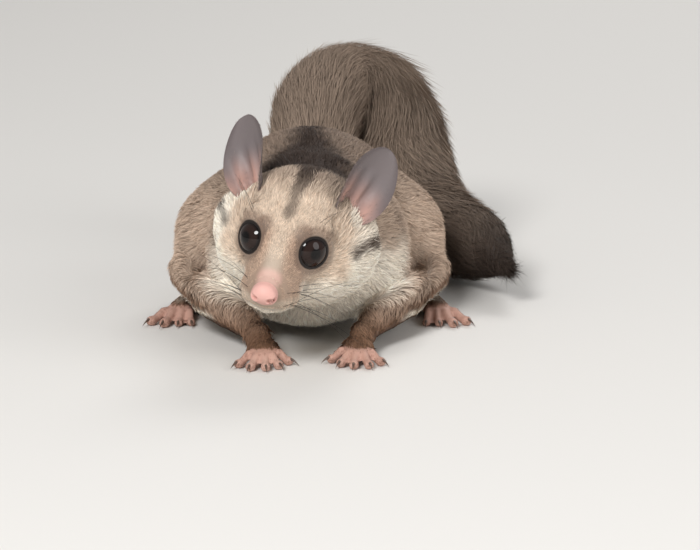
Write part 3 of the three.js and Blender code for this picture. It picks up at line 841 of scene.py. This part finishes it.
def marking(p, n):
    """The coat's colour at a place, for skin and tufts alike: grey-brown above, cream below, a dark
    stripe from between the eyes down the back, dark rings round the eyes and behind the ears, and a
    dark line above the membrane's cream edge."""
    head, tail, limb, _, share, _ = regions(p)
    wobble = waves(p, 5, 7.0)
    trunk = trunk_marking(p, n, wobble)
    face = face_marking(into_head(p), wobble)
    colour = trunk + (face - trunk) * head[:, None]
    leg = blend_to(BROWN_FUR, FLANK_FUR, smooth(p[:, 2], 5, 12) * 0.7)
    edge = smooth(np.abs(p[:, 0]), 21, 25) * smooth(p[:, 1], -34, -28)
    leg = blend_to(leg, FLANK_FUR, smooth(p[:, 2], 7.0, 9.5) * edge * 0.95)
    leg = blend_to(leg, CREAM_FUR, smooth(-p[:, 2], -8.4, -6.6) * smooth(p[:, 2], 4.2, 5.6) * edge)
    leg = blend_to(leg, BROWN_FUR, smooth(-np.abs(p[:, 2] - 9.2), -1.6, -0.6) * edge * 0.8)
    colour = colour + (leg - colour) * limb[:, None]
    brush = blend_to(TAIL_FUR, TAIL_DARK, smooth(share, 0.66, 0.95) * 0.9)
    colour = colour + (brush - colour) * tail[:, None]
    return colour * (1 + 0.06 * waves(p, 9, 3.0)[:, None] + 0.05 * waves(p, 12, 1.1)[:, None])


def bare(p):
    """How bare the nose with its bridge, the lids and the paws are, from 0 under the coat to 1."""
    q = into_head(p)
    pad = egg(q, NOSE_PAD + (0, -0.4, 0), (3.1, 2.7, 2.7))
    bridge = egg(q, (0.0, -19.6, -1.0), (2.3, 3.0, 1.6))
    nose = np.maximum(smooth(-pad, -0.35, 0.1), 0.5 * smooth(-bridge, -1.3, 0.4))
    lids = np.zeros(len(p))
    for s in SIDES:
        far, out, ring = about_eye(q, s)
        close = far < EYE_RADIUS + LID_THICKNESS + 0.2
        lids = np.maximum(lids, smooth(-ring, -4.0, -3.8) * (out > 1.0) * close)
    return nose, lids, regions(p)[3]


def turn_share(a, b):
    """The direction (a, b) as a share of a full turn, from 0 to 1."""
    return (np.arctan2(a, b) / (2 * np.pi)) % 1.0


def unwrap(p, n):
    """A place's spot on the skin's own unwrap: trunk and head by turn and length or tilt, tail by
    turn and length, limbs laid flat, upper and lower sides apart. Each has its quarter."""
    head, tail, limb, _, share, way = regions(p)
    length = np.clip((p[:, 1] + 50) / 100, 0, 1)
    spot = np.stack([turn_share(p[:, 0], p[:, 2] - 20), length], 1) * 0.48 + (0.01, 0.51)
    q = unit(into_head(p))
    ball = np.stack([turn_share(q[:, 0], q[:, 2]), np.arccos(np.clip(-q[:, 1], -1, 1)) / np.pi], 1)
    spot = np.where((head > 0.5)[:, None], ball * 0.48 + (0.51, 0.51), spot)
    side = unit(np.cross(way, (0, 0, 1.0)))
    lift = np.cross(side, way)
    brush = np.stack([turn_share((n * lift).sum(1), (n * side).sum(1)), share], 1) * 0.48 + (0.01, 0.01)
    spot = np.where((tail > 0.5)[:, None], brush, spot)
    flat = np.stack([(p[:, 0] + 45) / 90 * 0.48, (p[:, 1] + 70) / 100 * 0.23], 1) + (0.51, 0.01)
    flat[:, 1] += np.where(n[:, 2] < 0, 0.25, 0.0)
    return np.where((limb > 0.5)[:, None], flat, spot)


def flow(p, n):
    """The way the coat lies, along the skin: back over the head and trunk, out along limbs and tail."""
    head, tail, limb, paw, _, way = regions(p)
    q = into_head(p)
    from_nose = unit(q - (0.0, -24.0, -3.5))
    rise = mix(-0.15, 0.6, smooth(q[:, 2], 1, 6))
    lie = unit(from_nose + np.stack([0 * rise, 0.5 + 0.3 * rise, rise], 1)) @ HEAD_TURN.T
    back = np.tile(np.array([0.0, 1.0, -0.25]), (len(p), 1))
    back[:, 0] += 0.012 * p[:, 0]
    back[:, 2] -= 0.5 * smooth(np.abs(p[:, 0]), 14, 30)
    lie = back + (lie - back) * head[:, None]
    ahead = (p[:, 1] < -15) | (p[:, 2] < 5)
    down = np.stack([0.3 * np.sign(p[:, 0]), np.where(ahead, -1.0, 0.3), np.full(len(p), -0.45)], 1)
    lie = lie + (unit(down) - lie) * limb[:, None]
    front = np.tile(np.array([0.0, -1.0, -0.1]), (len(p), 1))
    lie = lie + (front - lie) * paw[:, None]
    lie = lie + (way - lie) * tail[:, None]
    lie = lie + 0.12 * three_waves(p, 21, 9.0)
    lie = lie - (lie * n).sum(1, keepdims=True) * n
    return unit(lie)


# Strands


def scatter(points, faces, normals, weight, count, seed):
    """count places on the skin, spread by area times weight."""
    rng = np.random.default_rng(seed)
    a, b, c = (points[faces[:, k]] for k in range(3))
    area = np.linalg.norm(np.cross(b - a, c - a), axis=1) * weight
    pick = np.searchsorted(np.cumsum(area) / area.sum(), rng.random(count))
    u, v = rng.random(count), rng.random(count)
    over = u + v > 1
    u[over], v[over] = 1 - u[over], 1 - v[over]
    shares = ((1 - u - v)[:, None], u[:, None], v[:, None])
    trio = faces[pick]
    place = sum(share * points[trio[:, k]] for k, share in enumerate(shares))
    normal = sum(share * normals[trio[:, k]] for k, share in enumerate(shares))
    return place, unit(normal), rng


def along_tail(root, length, outer):
    """A tuft's line as a function of s: it runs on along the tail's own bend, from its root's place
    round the core out to a share of the brush's radius."""
    share, _, _ = near_tail(root)

    def frame_at(t):
        middle = np.stack([np.interp(t, TAIL_SHARE, TAIL_LINE[:, k]) for k in range(3)], 1)
        way = unit(np.stack([np.interp(t, TAIL_SHARE, np.gradient(TAIL_LINE[:, k])) for k in range(3)], 1))
        side = unit(np.cross(way, (0, 0, 1.0)))
        return middle + way * (np.maximum(t - 1, 0) * TAIL_LENGTH)[:, None], side, np.cross(side, way)

    middle, side, up = frame_at(share)
    offset = root - middle
    spin = np.arctan2((offset * up).sum(1), (offset * side).sum(1))
    inner = np.linalg.norm(offset, axis=1)

    def line(s):
        t = share + s * length / TAIL_LENGTH
        centre, side, up = frame_at(t)
        brush = tail_radius(np.minimum(t, 1)) * np.sqrt(np.clip((1.05 - t) / 0.16, 0.03, 1)) * outer
        r = mix(inner - 0.1, np.maximum(brush, inner * 0.3), s * (1.7 - 0.7 * s))
        return centre + r[:, None] * (np.cos(spin)[:, None] * side + np.sin(spin)[:, None] * up)

    return line


def strands(name, rng, root, normal, lie, look, colour, tip, material):
    """Tapered ribbons joined in one mesh: c(s) = root + L (s lie + (lift s - droop s^2) n), of half
    width w (1 - s^1.6), each turned a little about its own line, ending in a point. The look gives
    length, width, lift, droop, slot and steps, and perhaps a path in place of root and lie."""
    count, steps = len(root), look["steps"]
    width, length, lift, droop = (look[key] * np.ones(count) for key in ("width", "length", "lift", "droop"))
    path = look.get("path")
    lie = unit(lie + TUFT_STRAY * rng.normal(size=(count, 3)))
    lie = unit(lie - (lie * normal).sum(1, keepdims=True) * normal)
    across = np.cross(lie, normal)
    roll = rng.normal(size=count) * TUFT_ROLL
    face = across * np.cos(roll)[:, None] + normal * np.sin(roll)[:, None]
    bend = rng.normal(size=count) * TUFT_BEND
    spot = unwrap(root, normal)
    rows, tints, spots = [], [], []
    for s in np.linspace(0, 1, steps + 1):
        line = root - normal * TUFT_DEPTH + length[:, None] * (
            lie * s + normal * (lift * s - droop * s * s)[:, None] + across * (bend * s * s)[:, None]
        )
        if path:
            line = path(s) + across * (length * bend * s * s)[:, None]
        line[:, 2] = np.maximum(line[:, 2], FLOOR_GAP)
        half = (width * (1 - s**1.6) * (0.75 + 0.6 * s))[:, None] * face * 0.5
        tint = colour + (tip - colour) * s**1.3
        if s < 1:
            rows += [line - half, line + half]
            tints += [tint, tint]
            spots += [spot + (-0.0015, 0.003 * s), spot + (0.0015, 0.003 * s)]
    rows.append(line)
    tints.append(tint)
    spots.append(spot + (0.0, 0.003))
    points, tint, spots = (np.stack(each, 1).reshape(count * len(rows), -1) for each in (rows, tints, spots))
    faces = []
    for i in range(0, 2 * steps - 2, 2):
        faces += [(i, i + 1, i + 3), (i, i + 3, i + 2)]
    faces.append((2 * steps - 2, 2 * steps - 1, 2 * steps))
    faces = (np.array(faces)[None] + (np.arange(count) * len(rows))[:, None, None]).reshape(-1, 3)
    turned_in = np.repeat((np.cross(face, lie) * normal).sum(1) < 0, 2 * steps - 1)
    faces[turned_in] = faces[turned_in][:, ::-1]
    thing = make_object(name, points, faces, material, look["slot"], smooth_faces=False)
    paint(thing.data, tint)
    add_map(thing.data, spots, faces)


def add_map(mesh, spots, faces):
    """Stores each corner's spot on the unwrap."""
    layer = mesh.uv_layers.new(name="OFBake")
    layer.data.foreach_set("uv", spots[faces.ravel()].astype(np.float32).ravel())


def paint(mesh, tint):
    """Stores a colour for each vertex."""
    layer = mesh.color_attributes.new("tint", "FLOAT_COLOR", "POINT")
    rgba = np.ones((len(mesh.vertices), 4), np.float32)
    rgba[:, :3] = np.clip(tint, 0, 1)
    layer.data.foreach_set("color", rgba.ravel())


# Materials


class Shade:
    """A node tree's socket as a value that + and * join with maths nodes."""

    def __init__(self, tree, socket):
        self.tree, self.socket = tree, socket

    def _math(self, kind, other):
        node = self.tree.nodes.new("ShaderNodeMath")
        node.operation = kind
        fill(node.inputs[0], self)
        fill(node.inputs[1], other)
        return Shade(self.tree, node.outputs[0])

    def __add__(self, other):
        return self._math("ADD", other)

    def __mul__(self, other):
        return self._math("MULTIPLY", other)

    __radd__, __rmul__ = __add__, __mul__


def fill(socket, value):
    """Links a Shade to a node's input, or writes a constant there."""
    if isinstance(value, Shade):
        value.tree.links.new(value.socket, socket)
    else:
        socket.default_value = value


class Paint:
    """A material with one Principled shader, and the nodes that feed it."""

    def __init__(self, name, **constants):
        self.material = bpy.data.materials.new(name)
        self.material.use_nodes = True
        self.tree = self.material.node_tree
        self.shader = self.tree.nodes["Principled BSDF"]
        for key, value in constants.items():
            fill(self.shader.inputs[key.replace("_", " ")], value)

    def node(self, kind, inputs=(), key=0, **settings):
        """A new node's output as a Shade, with its inputs and settings filled in."""
        made = self.tree.nodes.new("ShaderNode" + kind)
        for option, value in settings.items():
            setattr(made, option, value)
        for name, value in dict(inputs).items():
            fill(made.inputs[name], value)
        return Shade(self.tree, made.outputs[key])

    def feed(self, key, value):
        fill(self.shader.inputs[key], value)

    def place(self):
        return self.node("TexCoord", key="Object")

    def grain(self, scale):
        return self.node("TexNoise", {"Vector": self.place(), "Scale": scale, "Detail": 3.0})

    def bump(self, height, strength, distance):
        inputs = {"Height": height, "Strength": strength, "Distance": distance}
        self.feed("Normal", self.node("Bump", inputs))


def tinted(name, **constants):
    """A material whose colour is the one stored for each vertex."""
    made = Paint(name, **constants)
    made.feed("Base Color", made.node("Attribute", key="Color", attribute_name="tint"))
    return made


def coat_material():
    return tinted("fur", Roughness=0.7, Specular_IOR_Level=0.15).material


def skin_material():
    made = tinted("skin", Roughness=0.6, Specular_IOR_Level=0.35)
    crease = made.node("TexVoronoi", {"Vector": made.place(), "Scale": 2600.0})
    made.bump(made.grain(1800.0) * 0.6 + crease * 0.6, 0.35, 0.00012)
    return made.material


def ear_material():
    made = tinted("ear", Roughness=0.5, Specular_IOR_Level=0.4)
    made.bump(made.grain(1200.0), 0.25, 0.00015)
    return made.material


def eye_material():
    return tinted("eye", Roughness=0.03, Specular_IOR_Level=0.3).material


# Pieces

STATE = {}


def skin_parts():
    if "skin" not in STATE:
        points, faces = build_skin()
        STATE["skin"] = points, faces, vertex_normals(points, faces)
    return STATE["skin"]


def add_skin():
    """The skin: the coat's own marking, darker, with the bare nose, lids and paws over it."""
    points, faces, normals = skin_parts()
    colour = marking(points, normals) * UNDERCOAT_SHADE
    nose, lids, paw = bare(points)
    colour = blend_to(colour, NOSE_SKIN, nose)
    colour = blend_to(colour, LID_SKIN, lids)
    colour = blend_to(colour, PAW_SKIN, paw * 0.9)
    thing = make_object("skin", points, faces, skin_material(), "coat")
    paint(thing.data, colour)
    add_map(thing.data, unwrap(points, normals), faces)
    keep = ("eye_right", "eye_left", "ear_right", "ear_left")
    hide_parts(*[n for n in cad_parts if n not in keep])


def add_eyes():
    """Each eye: a ball, p = c + r u, with the dark brown iris and the pupil's black by its tilt."""
    material = eye_material()
    for name, s in (("eye_right", -1), ("eye_left", 1)):
        points, faces = ball_grid(40, 64)
        gaze = Vector(unit(HEAD_TURN @ mirrored(EYE_WAY, s)))
        turn = np.array(Vector((0, 1, 0)).rotation_difference(gaze).to_matrix())
        tilt = np.degrees(np.arccos(np.clip(points[:, 1], -1, 1)))
        radius = EYE_RADIUS * (1 + CORNEA_BULGE * smooth(-tilt, -40, -10))
        placed = (points * radius[:, None]) @ turn.T + from_head(mirrored(EYE_SEAT, s))
        tint = blend_to(IRIS, PUPIL, smooth(-tilt, -20, -14))
        tint = blend_to(tint, EYE_EDGE, smooth(tilt, 37, 44))
        ball = make_object(name + "_ball", placed, facing_out(placed, faces), material, "eye")
        paint(ball.data, tint)
        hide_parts(name)


def ear_wave(edge, up):
    """The phase of the ear's folds: they cross it from edge to edge and slant upwards."""
    return edge * 10.5 + 2.5 * up


def ear_shape(s, up, edge, layer):
    """The ear's leaf: root + rise L t + across W x + front (cup x^2 - lean t^2 + half thickness)."""
    rise = unit(mirrored(EAR_RISE, s))
    front = mirrored(EAR_FRONT, s)
    front = unit(front - front @ rise * rise)
    across = np.cross(rise, front)
    reach = np.sqrt(np.maximum(1 - (2 * up - 1) ** 2, 1e-6))
    width = EAR_WIDTH / 2 * mix(0.86, 1.02, smooth(up * 1.4)) * (edge * reach)
    cup = mix(5.2, 1.2, smooth(up)) * edge**2 * reach**0.6
    ridge = 0.55 * np.sin(ear_wave(edge, up)) * (1 - smooth(up, 0.42, 0.78)) * (1 - edge**2)
    tragus = 1.6 * np.exp(-(((edge - 0.35 * s) / 0.28) ** 2)) * np.exp(-(((up - 0.22) / 0.10) ** 2))
    thick = 0.32 * layer
    out = cup - 2.2 * up * up + thick + (ridge + tragus * (layer > 0)) * np.maximum(layer, 0)
    height = (EAR_LENGTH + EAR_DEPTH) * up - EAR_DEPTH
    place = mirrored(EAR_SEAT, s) + rise * height[:, None] + across * width[:, None] + front * out[:, None]
    return place, front, across


def add_ear_leaf(name, s, material):
    points, faces = ball_grid(60, 96)
    up = (points[:, 1] + 1) / 2
    reach = np.maximum(np.hypot(points[:, 0], points[:, 2]), 1e-6)
    edge = np.clip(points[:, 0] / reach, -1, 1)
    layer = points[:, 2] / reach * np.minimum(1, reach * 3)
    place, _, _ = ear_shape(s, up, edge, layer)
    # Painted light and shade on the folds: the crests take more of the root's pink and read lighter, the
    # hollows between them stay darker grey.
    painted_fold_shade = 0.5 + 0.5 * np.sin(ear_wave(edge, up))
    inner = smooth(layer, -0.1, 0.2) * smooth(-up, -0.66, -0.2)
    tint = blend_to(EAR_SKIN, EAR_ROOT, inner * mix(0.55, 1.0, painted_fold_shade))
    tint = blend_to(tint, EAR_RIM, smooth(np.abs(edge), 0.6, 1.0) * smooth(up, 0.2, 0.5) * 0.7)
    placed = from_head(place)
    leaf = make_object(name + "_leaf", placed, facing_out(placed, faces), material, "ear_skin")
    paint(leaf.data, tint)
    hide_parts(name)


def add_ear_fuzz(name, s, material):
    """Short hairs on both sides of the leaf, longest at its root, a fifth of them on its rim."""
    rng = np.random.default_rng(40 + s)
    count = 2200
    up = rng.random(count) ** 1.6
    rim = rng.random(count) < 0.2
    on_rim = np.sign(rng.random(count) - 0.5) * (1 - 0.06 * rng.random(count))
    edge = np.where(rim, on_rim, rng.uniform(-1, 1, count))
    side = np.where(rng.random(count) < 0.7, -1.0, 1.0)
    root, front, across = ear_shape(s, up, edge, side)
    normal = unit(front * side[:, None] + across * (edge * 0.5)[:, None])
    lie = unit(mirrored(EAR_RISE, s) + across * (edge * rim * 1.2)[:, None])
    look = {
        "length": rng.uniform(0.5, 1.0, count) * mix(1.5, 0.35, smooth(up, 0.1, 0.5)),
        "width": 0.09, "lift": 0.25, "droop": 0.0, "slot": "ear_skin", "steps": 2,
    }
    colour = EAR_FUZZ * rng.uniform(0.8, 1.2, (count, 1))
    turn = HEAD_TURN.T
    tip = colour * 1.3
    strands(name + "_fuzz", rng, from_head(root), normal @ turn, lie @ turn, look, colour, tip, material)


def add_ears():
    leaf, fuzz = ear_material(), coat_material()
    for name, s in (("ear_right", -1), ("ear_left", 1)):
        add_ear_leaf(name, s, leaf)
        add_ear_fuzz(name, s, fuzz)


def cone_rows(name, rows, material, slot, steps=6, sides=6):
    """Curved cones joined in one mesh, from rows of start, end, droop and radius: rings of radius
    r (1 - t) along a bent line to a point."""
    t = np.linspace(0, 1, steps + 1)
    spin = np.arange(sides) * 2 * np.pi / sides
    clumps = []
    for a, b, drop, radius in rows:
        line = a + (b - a) * t[:, None] + np.array((0, 0, drop)) * (4 * t * (1 - t))[:, None]
        way = unit(np.gradient(line, axis=0))
        side = unit(np.cross(way, (0, 0, 1.0)))
        lift = np.cross(side, way)
        r = radius * (1 - t) + 0.015
        ring = line[:, None] + r[:, None, None] * (
            np.cos(spin)[None, :, None] * side[:, None] + np.sin(spin)[None, :, None] * lift[:, None]
        )
        points = np.vstack([ring.reshape(-1, 3), a - way[0] * 0.1, b + way[-1] * 0.05])
        faces, k, following = tube_faces(steps + 1, sides)
        last = steps * sides
        faces.append(np.stack([following, k, np.full(sides, last + sides)], 1))
        faces.append(np.stack([last + k, last + following, np.full(sides, last + sides + 1)], 1))
        clumps.append((points, np.vstack(faces)))
    return make_object(name, *stacked(clumps), material, slot)


def add_claws(settings):
    rows = []
    for points, radii, way, claw in DIGITS:
        if claw:
            tip, r = points[-1], radii[-1]
            start = tip + way * (r * 0.35) + (0, 0, r * 0.45)
            rows.append((start, tip + way * (r + claw) - (0, 0, r * 0.55), 0.35, CLAW_RADIUS))
    material = Paint("claw", Roughness=0.3, Base_Color=settings.claw_colour).material
    cone_rows("claws", rows, material, "paw_skin")


# Middle of each group's roots in the head's frame, their spread, how many and how long
WHISKER_ROWS = (
    ((4.6, -16.0, -5.6), (1.6, 3.0, 1.6), 10, (9, 19)),
    ((7.2, -7.0, 7.6), (0.8, 0.8, 0.4), 2, (6, 10)),
    ((9.5, -4.5, -6.0), (0.8, 0.8, 0.8), 2, (8, 12)),
)


def add_whiskers(settings):
    rng = np.random.default_rng(77)
    roots, ends, drops = [], [], []
    for s in SIDES:
        for centre, spread, count, sizes in WHISKER_ROWS:
            for _ in range(count):
                root = np.array(centre) + rng.uniform(-1, 1, 3) * spread
                way = unit(np.array([1.0, rng.uniform(-0.25, 0.75), rng.uniform(-0.45, 0.45)]))
                length = rng.uniform(*sizes)
                if centre[2] > 5:
                    way = unit(np.array([0.7, 0.1, 0.8]) + rng.normal(size=3) * 0.12)
                roots.append(from_head(mirrored(root, s)))
                ends.append(from_head(mirrored(root + way * length, s)))
                drops.append(0.06 * length)
    roots, ends = onto_skin(np.array(roots), 6), np.array(ends)
    ends[:, 2] = np.maximum(ends[:, 2], 1.0)
    material = Paint("whisker", Roughness=0.35, Base_Color=settings.whisker_colour).material
    rows = [(root, end, drop, WHISKER_RADIUS) for root, end, drop in zip(roots, ends, drops)]
    cone_rows("whiskers", rows, material, "coat", steps=8, sides=4)


def add_coat(settings):
    """Each part's tufts, spread by how much of the skin is that part's and isn't bare."""
    points, faces, _ = skin_parts()
    middle = points[faces].mean(1)
    a, b, c = (points[faces[:, k]] for k in range(3))
    normal = unit(np.cross(b - a, c - a))
    head, tail, _, paw, _, _ = regions(middle)
    q = into_head(middle)
    nose, lids, _ = bare(middle)
    clear = (1 - nose) * (1 - lids) * (middle[:, 2] > 0.4) * (eye_distance(q) >= EYE_RADIUS + 0.15)
    face = head * smooth(-q[:, 1], -6, 2)
    material = coat_material()
    trunk_weight = (1 - tail) * (1 - paw) * (1 - face) * clear * mix(1.0, 1.3, head)
    groups = (
        ("coat_trunk", trunk_look, trunk_weight, settings.trunk_count, 4, 100),
        ("coat_face", face_look, face * (1 - paw) * (1 - tail) * clear, settings.face_count, 2, 200),
        ("coat_tail", tail_look, tail * clear * (1 - face), settings.tail_count, 3, 300),
        ("coat_paws", paw_look, paw * clear * (normal[:, 2] > -0.2), settings.paw_count, 1, 400),
    )
    for name, look, weight, whole, pieces, seed in groups:
        count = int(whole * settings.share) // pieces
        for k in range(pieces):
            add_tufts(f"{name}_{k + 1}", look, weight, count, seed + k, material, settings)


def trunk_look(root, vary, settings, rng):
    head, _, limb, _, _, _ = regions(root)
    length = mix(settings.body_hair, settings.body_hair * 0.8, head) * vary
    length = mix(length, mix(1.1, 2.6, smooth(root[:, 2], 4, 8)) * vary, limb)
    return {
        "length": length, "width": mix(0.30, 0.22, limb), "lift": 0.34 + 0.04 * waves(root, 33, 4.0),
        "droop": 0.17, "slot": "coat", "steps": 3,
    }


def face_look(root, vary, settings, rng):
    q = into_head(root)
    length = mix(0.9, 3.2, smooth(q[:, 1], -19, 2)) * vary
    length = length * mix(0.5, 1.0, smooth(eye_distance(q), 4.6, 8.5))
    width = mix(0.14, 0.24, smooth(q[:, 1], -20, 2))
    return {"length": length, "width": width, "lift": 0.26, "droop": 0.13, "slot": "coat", "steps": 2}


def tail_look(root, vary, settings, rng):
    share = regions(root)[4]
    length = settings.tail_hair * vary * mix(0.7, 1.0, smooth(share, 0.0, 0.2))
    length = length * mix(1.0, 0.85, smooth(share, 0.7, 1.0))
    outer = rng.uniform(0.78, 1.0, len(root)) + 0.05 * waves(root, 31, 5.0)
    return {
        "length": length, "width": 0.34, "lift": 0.0, "droop": 0.0, "slot": "tail_coat", "steps": 3,
        "path": along_tail(root, length, outer),
    }


def paw_look(root, vary, settings, rng):
    length = rng.uniform(0.5, 1.1, len(root))
    return {"length": length, "width": 0.13, "lift": 0.22, "droop": 0.1, "slot": "paw_skin", "steps": 2}


def add_tufts(name, look, weight, count, seed, material, settings):
    """One piece of the coat: each tuft's look, way and colour follow from where its root is."""
    root, normal, rng = scatter(*skin_parts(), weight, count, seed)
    lie = flow(root, normal)
    vary = rng.uniform(0.75, 1.25, count)
    made = look(root, vary, settings, rng)
    clump = settings.clump * (0.5 if look is face_look else 1.0)
    lie = unit(lie + clump * three_waves(root, 41, 3.5))
    colour = marking(root, normal) * rng.uniform(0.78, 1.22, (count, 1))
    tip = colour * mix(1.08, 1.28, rng.random((count, 1)))
    if look is paw_look:
        colour = blend_to(PAW_HAIR, PAW_SKIN, rng.random(count) * 0.6)
        tip = colour * 1.1
    strands(name, rng, root, normal, lie, made, colour * ROOT_SHADE, tip, material)


# Stage

# Name, place, share of the key's power and width of each lamp
LAMPS = (
    ("key", (-0.35, -0.95, 0.75), 1.0, 0.4),
    ("fill", (0.9, -0.6, 0.5), 0.35, 0.8),
    ("rim", (0.3, 0.9, 0.8), 0.3, 0.5),
)
LAMP_AIM = Vector((0.0, -0.02, 0.02))
FLOOR_HALF = 6.0
STUDIO_GREY, STUDIO_LIGHT = 0.80, 0.42
CAMERA_TILT, CAMERA_AWAY, CAMERA_LENS = 12.0, 0.75, 173.5
BETWEEN_EYES = Vector((-0.00545, -0.05704, 0.02854))
FRAME_SHIFT = Vector((0.0152, 0.0, 0.0067))


def add_floor(settings):
    mesh = bpy.data.meshes.new("floor")
    corners = [(x * FLOOR_HALF, y * FLOOR_HALF, 0) for x, y in ((-1, -1), (1, -1), (1, 1), (-1, 1))]
    mesh.from_pydata(corners, [], [(0, 1, 2, 3)])
    floor = new_object("floor", mesh)
    mesh.materials.append(Paint("floor", Roughness=0.7, Base_Color=settings.floor_colour).material)


def add_lights(settings):
    world = bpy.data.worlds.new("studio")
    world.use_nodes = True
    inputs = world.node_tree.nodes["Background"].inputs
    inputs[0].default_value = (STUDIO_GREY, STUDIO_GREY, STUDIO_GREY, 1)
    inputs[1].default_value = STUDIO_LIGHT
    bpy.context.scene.world = world
    for name, place, share, width in LAMPS:
        lamp = bpy.data.lights.new(name, "AREA")
        lamp.energy = settings.key_power * share
        lamp.shape = "DISK"
        lamp.size = width
        holder = new_object(name, lamp)
        holder.location = place
        holder.rotation_euler = (LAMP_AIM - Vector(place)).to_track_quat("-Z", "Y").to_euler()


def add_camera():
    """The photograph's view: level ahead of the animal, tilted down, aimed beside its eyes."""
    tilt = math.radians(CAMERA_TILT)
    back = Vector((0, -math.cos(tilt), math.sin(tilt)))
    up = Vector((0, math.sin(tilt), math.cos(tilt)))
    aim = BETWEEN_EYES + Vector((FRAME_SHIFT.x, 0, 0)) - up * FRAME_SHIFT.z
    data = bpy.data.cameras.new("camera")
    data.lens = CAMERA_LENS
    data.sensor_width = 36.0
    data.clip_end = 20.0
    camera = new_object("camera", data)
    camera.location = aim + back * CAMERA_AWAY
    camera.rotation_euler = back.to_track_quat("Z", "Y").to_euler()
    bpy.context.scene.camera = camera
    bpy.context.scene.view_settings.view_transform = "Standard"


# The add-on


def setting(kind, name, description, default, **limits):
    return kind(name=name, description=description, default=default, **limits)


class GliderCoat(bpy.types.PropertyGroup):
    share: setting(
        bpy.props.FloatProperty, "Coat share", "Part of the tufts that are made", 1.0,
        min=0.02, max=1.0, subtype="FACTOR",
    )
    trunk_count: setting(
        bpy.props.IntProperty, "Trunk tufts", "Tufts on head, trunk and limbs", 140000, min=4
    )
    face_count: setting(bpy.props.IntProperty, "Face tufts", "Short tufts on the face", 60000, min=2)
    tail_count: setting(bpy.props.IntProperty, "Tail tufts", "Long tufts on the tail", 70000, min=3)
    paw_count: setting(bpy.props.IntProperty, "Paw tufts", "Sparse hairs on the paws", 6000, min=1)
    body_hair: setting(bpy.props.FloatProperty, "Body hair", "Length on the trunk, in millimetres", 4.6)
    tail_hair: setting(bpy.props.FloatProperty, "Tail hair", "Length on the tail, in millimetres", 15.0)
    clump: setting(bpy.props.FloatProperty, "Clump", "How much neighbours lean together", 0.08)
    claw_colour: setting(
        bpy.props.FloatVectorProperty, "Claws", "Colour of the claws", (0.10, 0.065, 0.05, 1),
        size=4, subtype="COLOR",
    )
    whisker_colour: setting(
        bpy.props.FloatVectorProperty, "Whiskers", "Colour of the whiskers", (0.02, 0.015, 0.012, 1),
        size=4, subtype="COLOR",
    )


class GliderStage(bpy.types.PropertyGroup):
    key_power: setting(bpy.props.FloatProperty, "Key power", "Power of the main light", 13.0, unit="POWER")
    floor_colour: setting(
        bpy.props.FloatVectorProperty, "Floor", "Colour of the floor", (0.72, 0.70, 0.67, 1),
        size=4, subtype="COLOR",
    )


class GLIDER_OT_skin(bpy.types.Operator):
    """One skin over the whole body"""

    bl_idname = "glider.skin"
    bl_label = "Skin"

    def execute(self, context):
        add_skin()
        return {"FINISHED"}


class GLIDER_OT_eyes(bpy.types.Operator):
    """The two eyes"""

    bl_idname = "glider.eyes"
    bl_label = "Eyes"

    def execute(self, context):
        add_eyes()
        return {"FINISHED"}


class GLIDER_OT_ears(bpy.types.Operator):
    """The two ears and their fuzz"""

    bl_idname = "glider.ears"
    bl_label = "Ears"

    def execute(self, context):
        add_ears()
        return {"FINISHED"}


class GLIDER_OT_claws(bpy.types.Operator):
    """Claws of fingers and toes"""

    bl_idname = "glider.claws"
    bl_label = "Claws"

    def execute(self, context):
        add_claws(context.scene.glider_coat)
        return {"FINISHED"}


class GLIDER_OT_whiskers(bpy.types.Operator):
    """Whiskers of muzzle, brow and cheek"""

    bl_idname = "glider.whiskers"
    bl_label = "Whiskers"

    def execute(self, context):
        add_whiskers(context.scene.glider_coat)
        return {"FINISHED"}


class GLIDER_OT_coat(bpy.types.Operator):
    """The coat's tufts"""

    bl_idname = "glider.coat"
    bl_label = "Coat"

    def execute(self, context):
        add_coat(context.scene.glider_coat)
        return {"FINISHED"}


class GLIDER_OT_stage(bpy.types.Operator):
    """Floor, lights and camera"""

    bl_idname = "glider.stage"
    bl_label = "Stage"

    def execute(self, context):
        settings = context.scene.glider_stage
        add_floor(settings)
        add_lights(settings)
        add_camera()
        return {"FINISHED"}


OPERATORS = (
    GLIDER_OT_skin, GLIDER_OT_eyes, GLIDER_OT_ears, GLIDER_OT_claws, GLIDER_OT_whiskers, GLIDER_OT_coat,
    GLIDER_OT_stage,
)


class GLIDER_PT_panel(bpy.types.Panel):
    """Pieces of the sugar glider"""

    bl_idname = "GLIDER_PT_panel"
    bl_label = "Sugar glider"
    bl_space_type = "VIEW_3D"
    bl_region_type = "UI"
    bl_category = "Glider"

    def draw(self, context):
        for group in (context.scene.glider_coat, context.scene.glider_stage):
            for key in group.bl_rna.properties.keys():
                if key not in ("rna_type", "name"):
                    self.layout.prop(group, key)
        for operator in OPERATORS:
            self.layout.operator(operator.bl_idname)


CLASSES = (GliderCoat, GliderStage) + OPERATORS + (GLIDER_PT_panel,)


def register():
    for cls in CLASSES:
        bpy.utils.register_class(cls)
    bpy.types.Scene.glider_coat = bpy.props.PointerProperty(type=GliderCoat)
    bpy.types.Scene.glider_stage = bpy.props.PointerProperty(type=GliderStage)


def unregister():
    del bpy.types.Scene.glider_coat
    del bpy.types.Scene.glider_stage
    for cls in reversed(CLASSES):
        bpy.utils.unregister_class(cls)


def main():
    register()
    bpy.ops.glider.skin()
    bpy.ops.glider.eyes()
    bpy.ops.glider.ears()
    bpy.ops.glider.claws()
    bpy.ops.glider.whiskers()
    bpy.ops.glider.coat()
    bpy.ops.glider.stage()


if __name__ == "__main__":
    main()
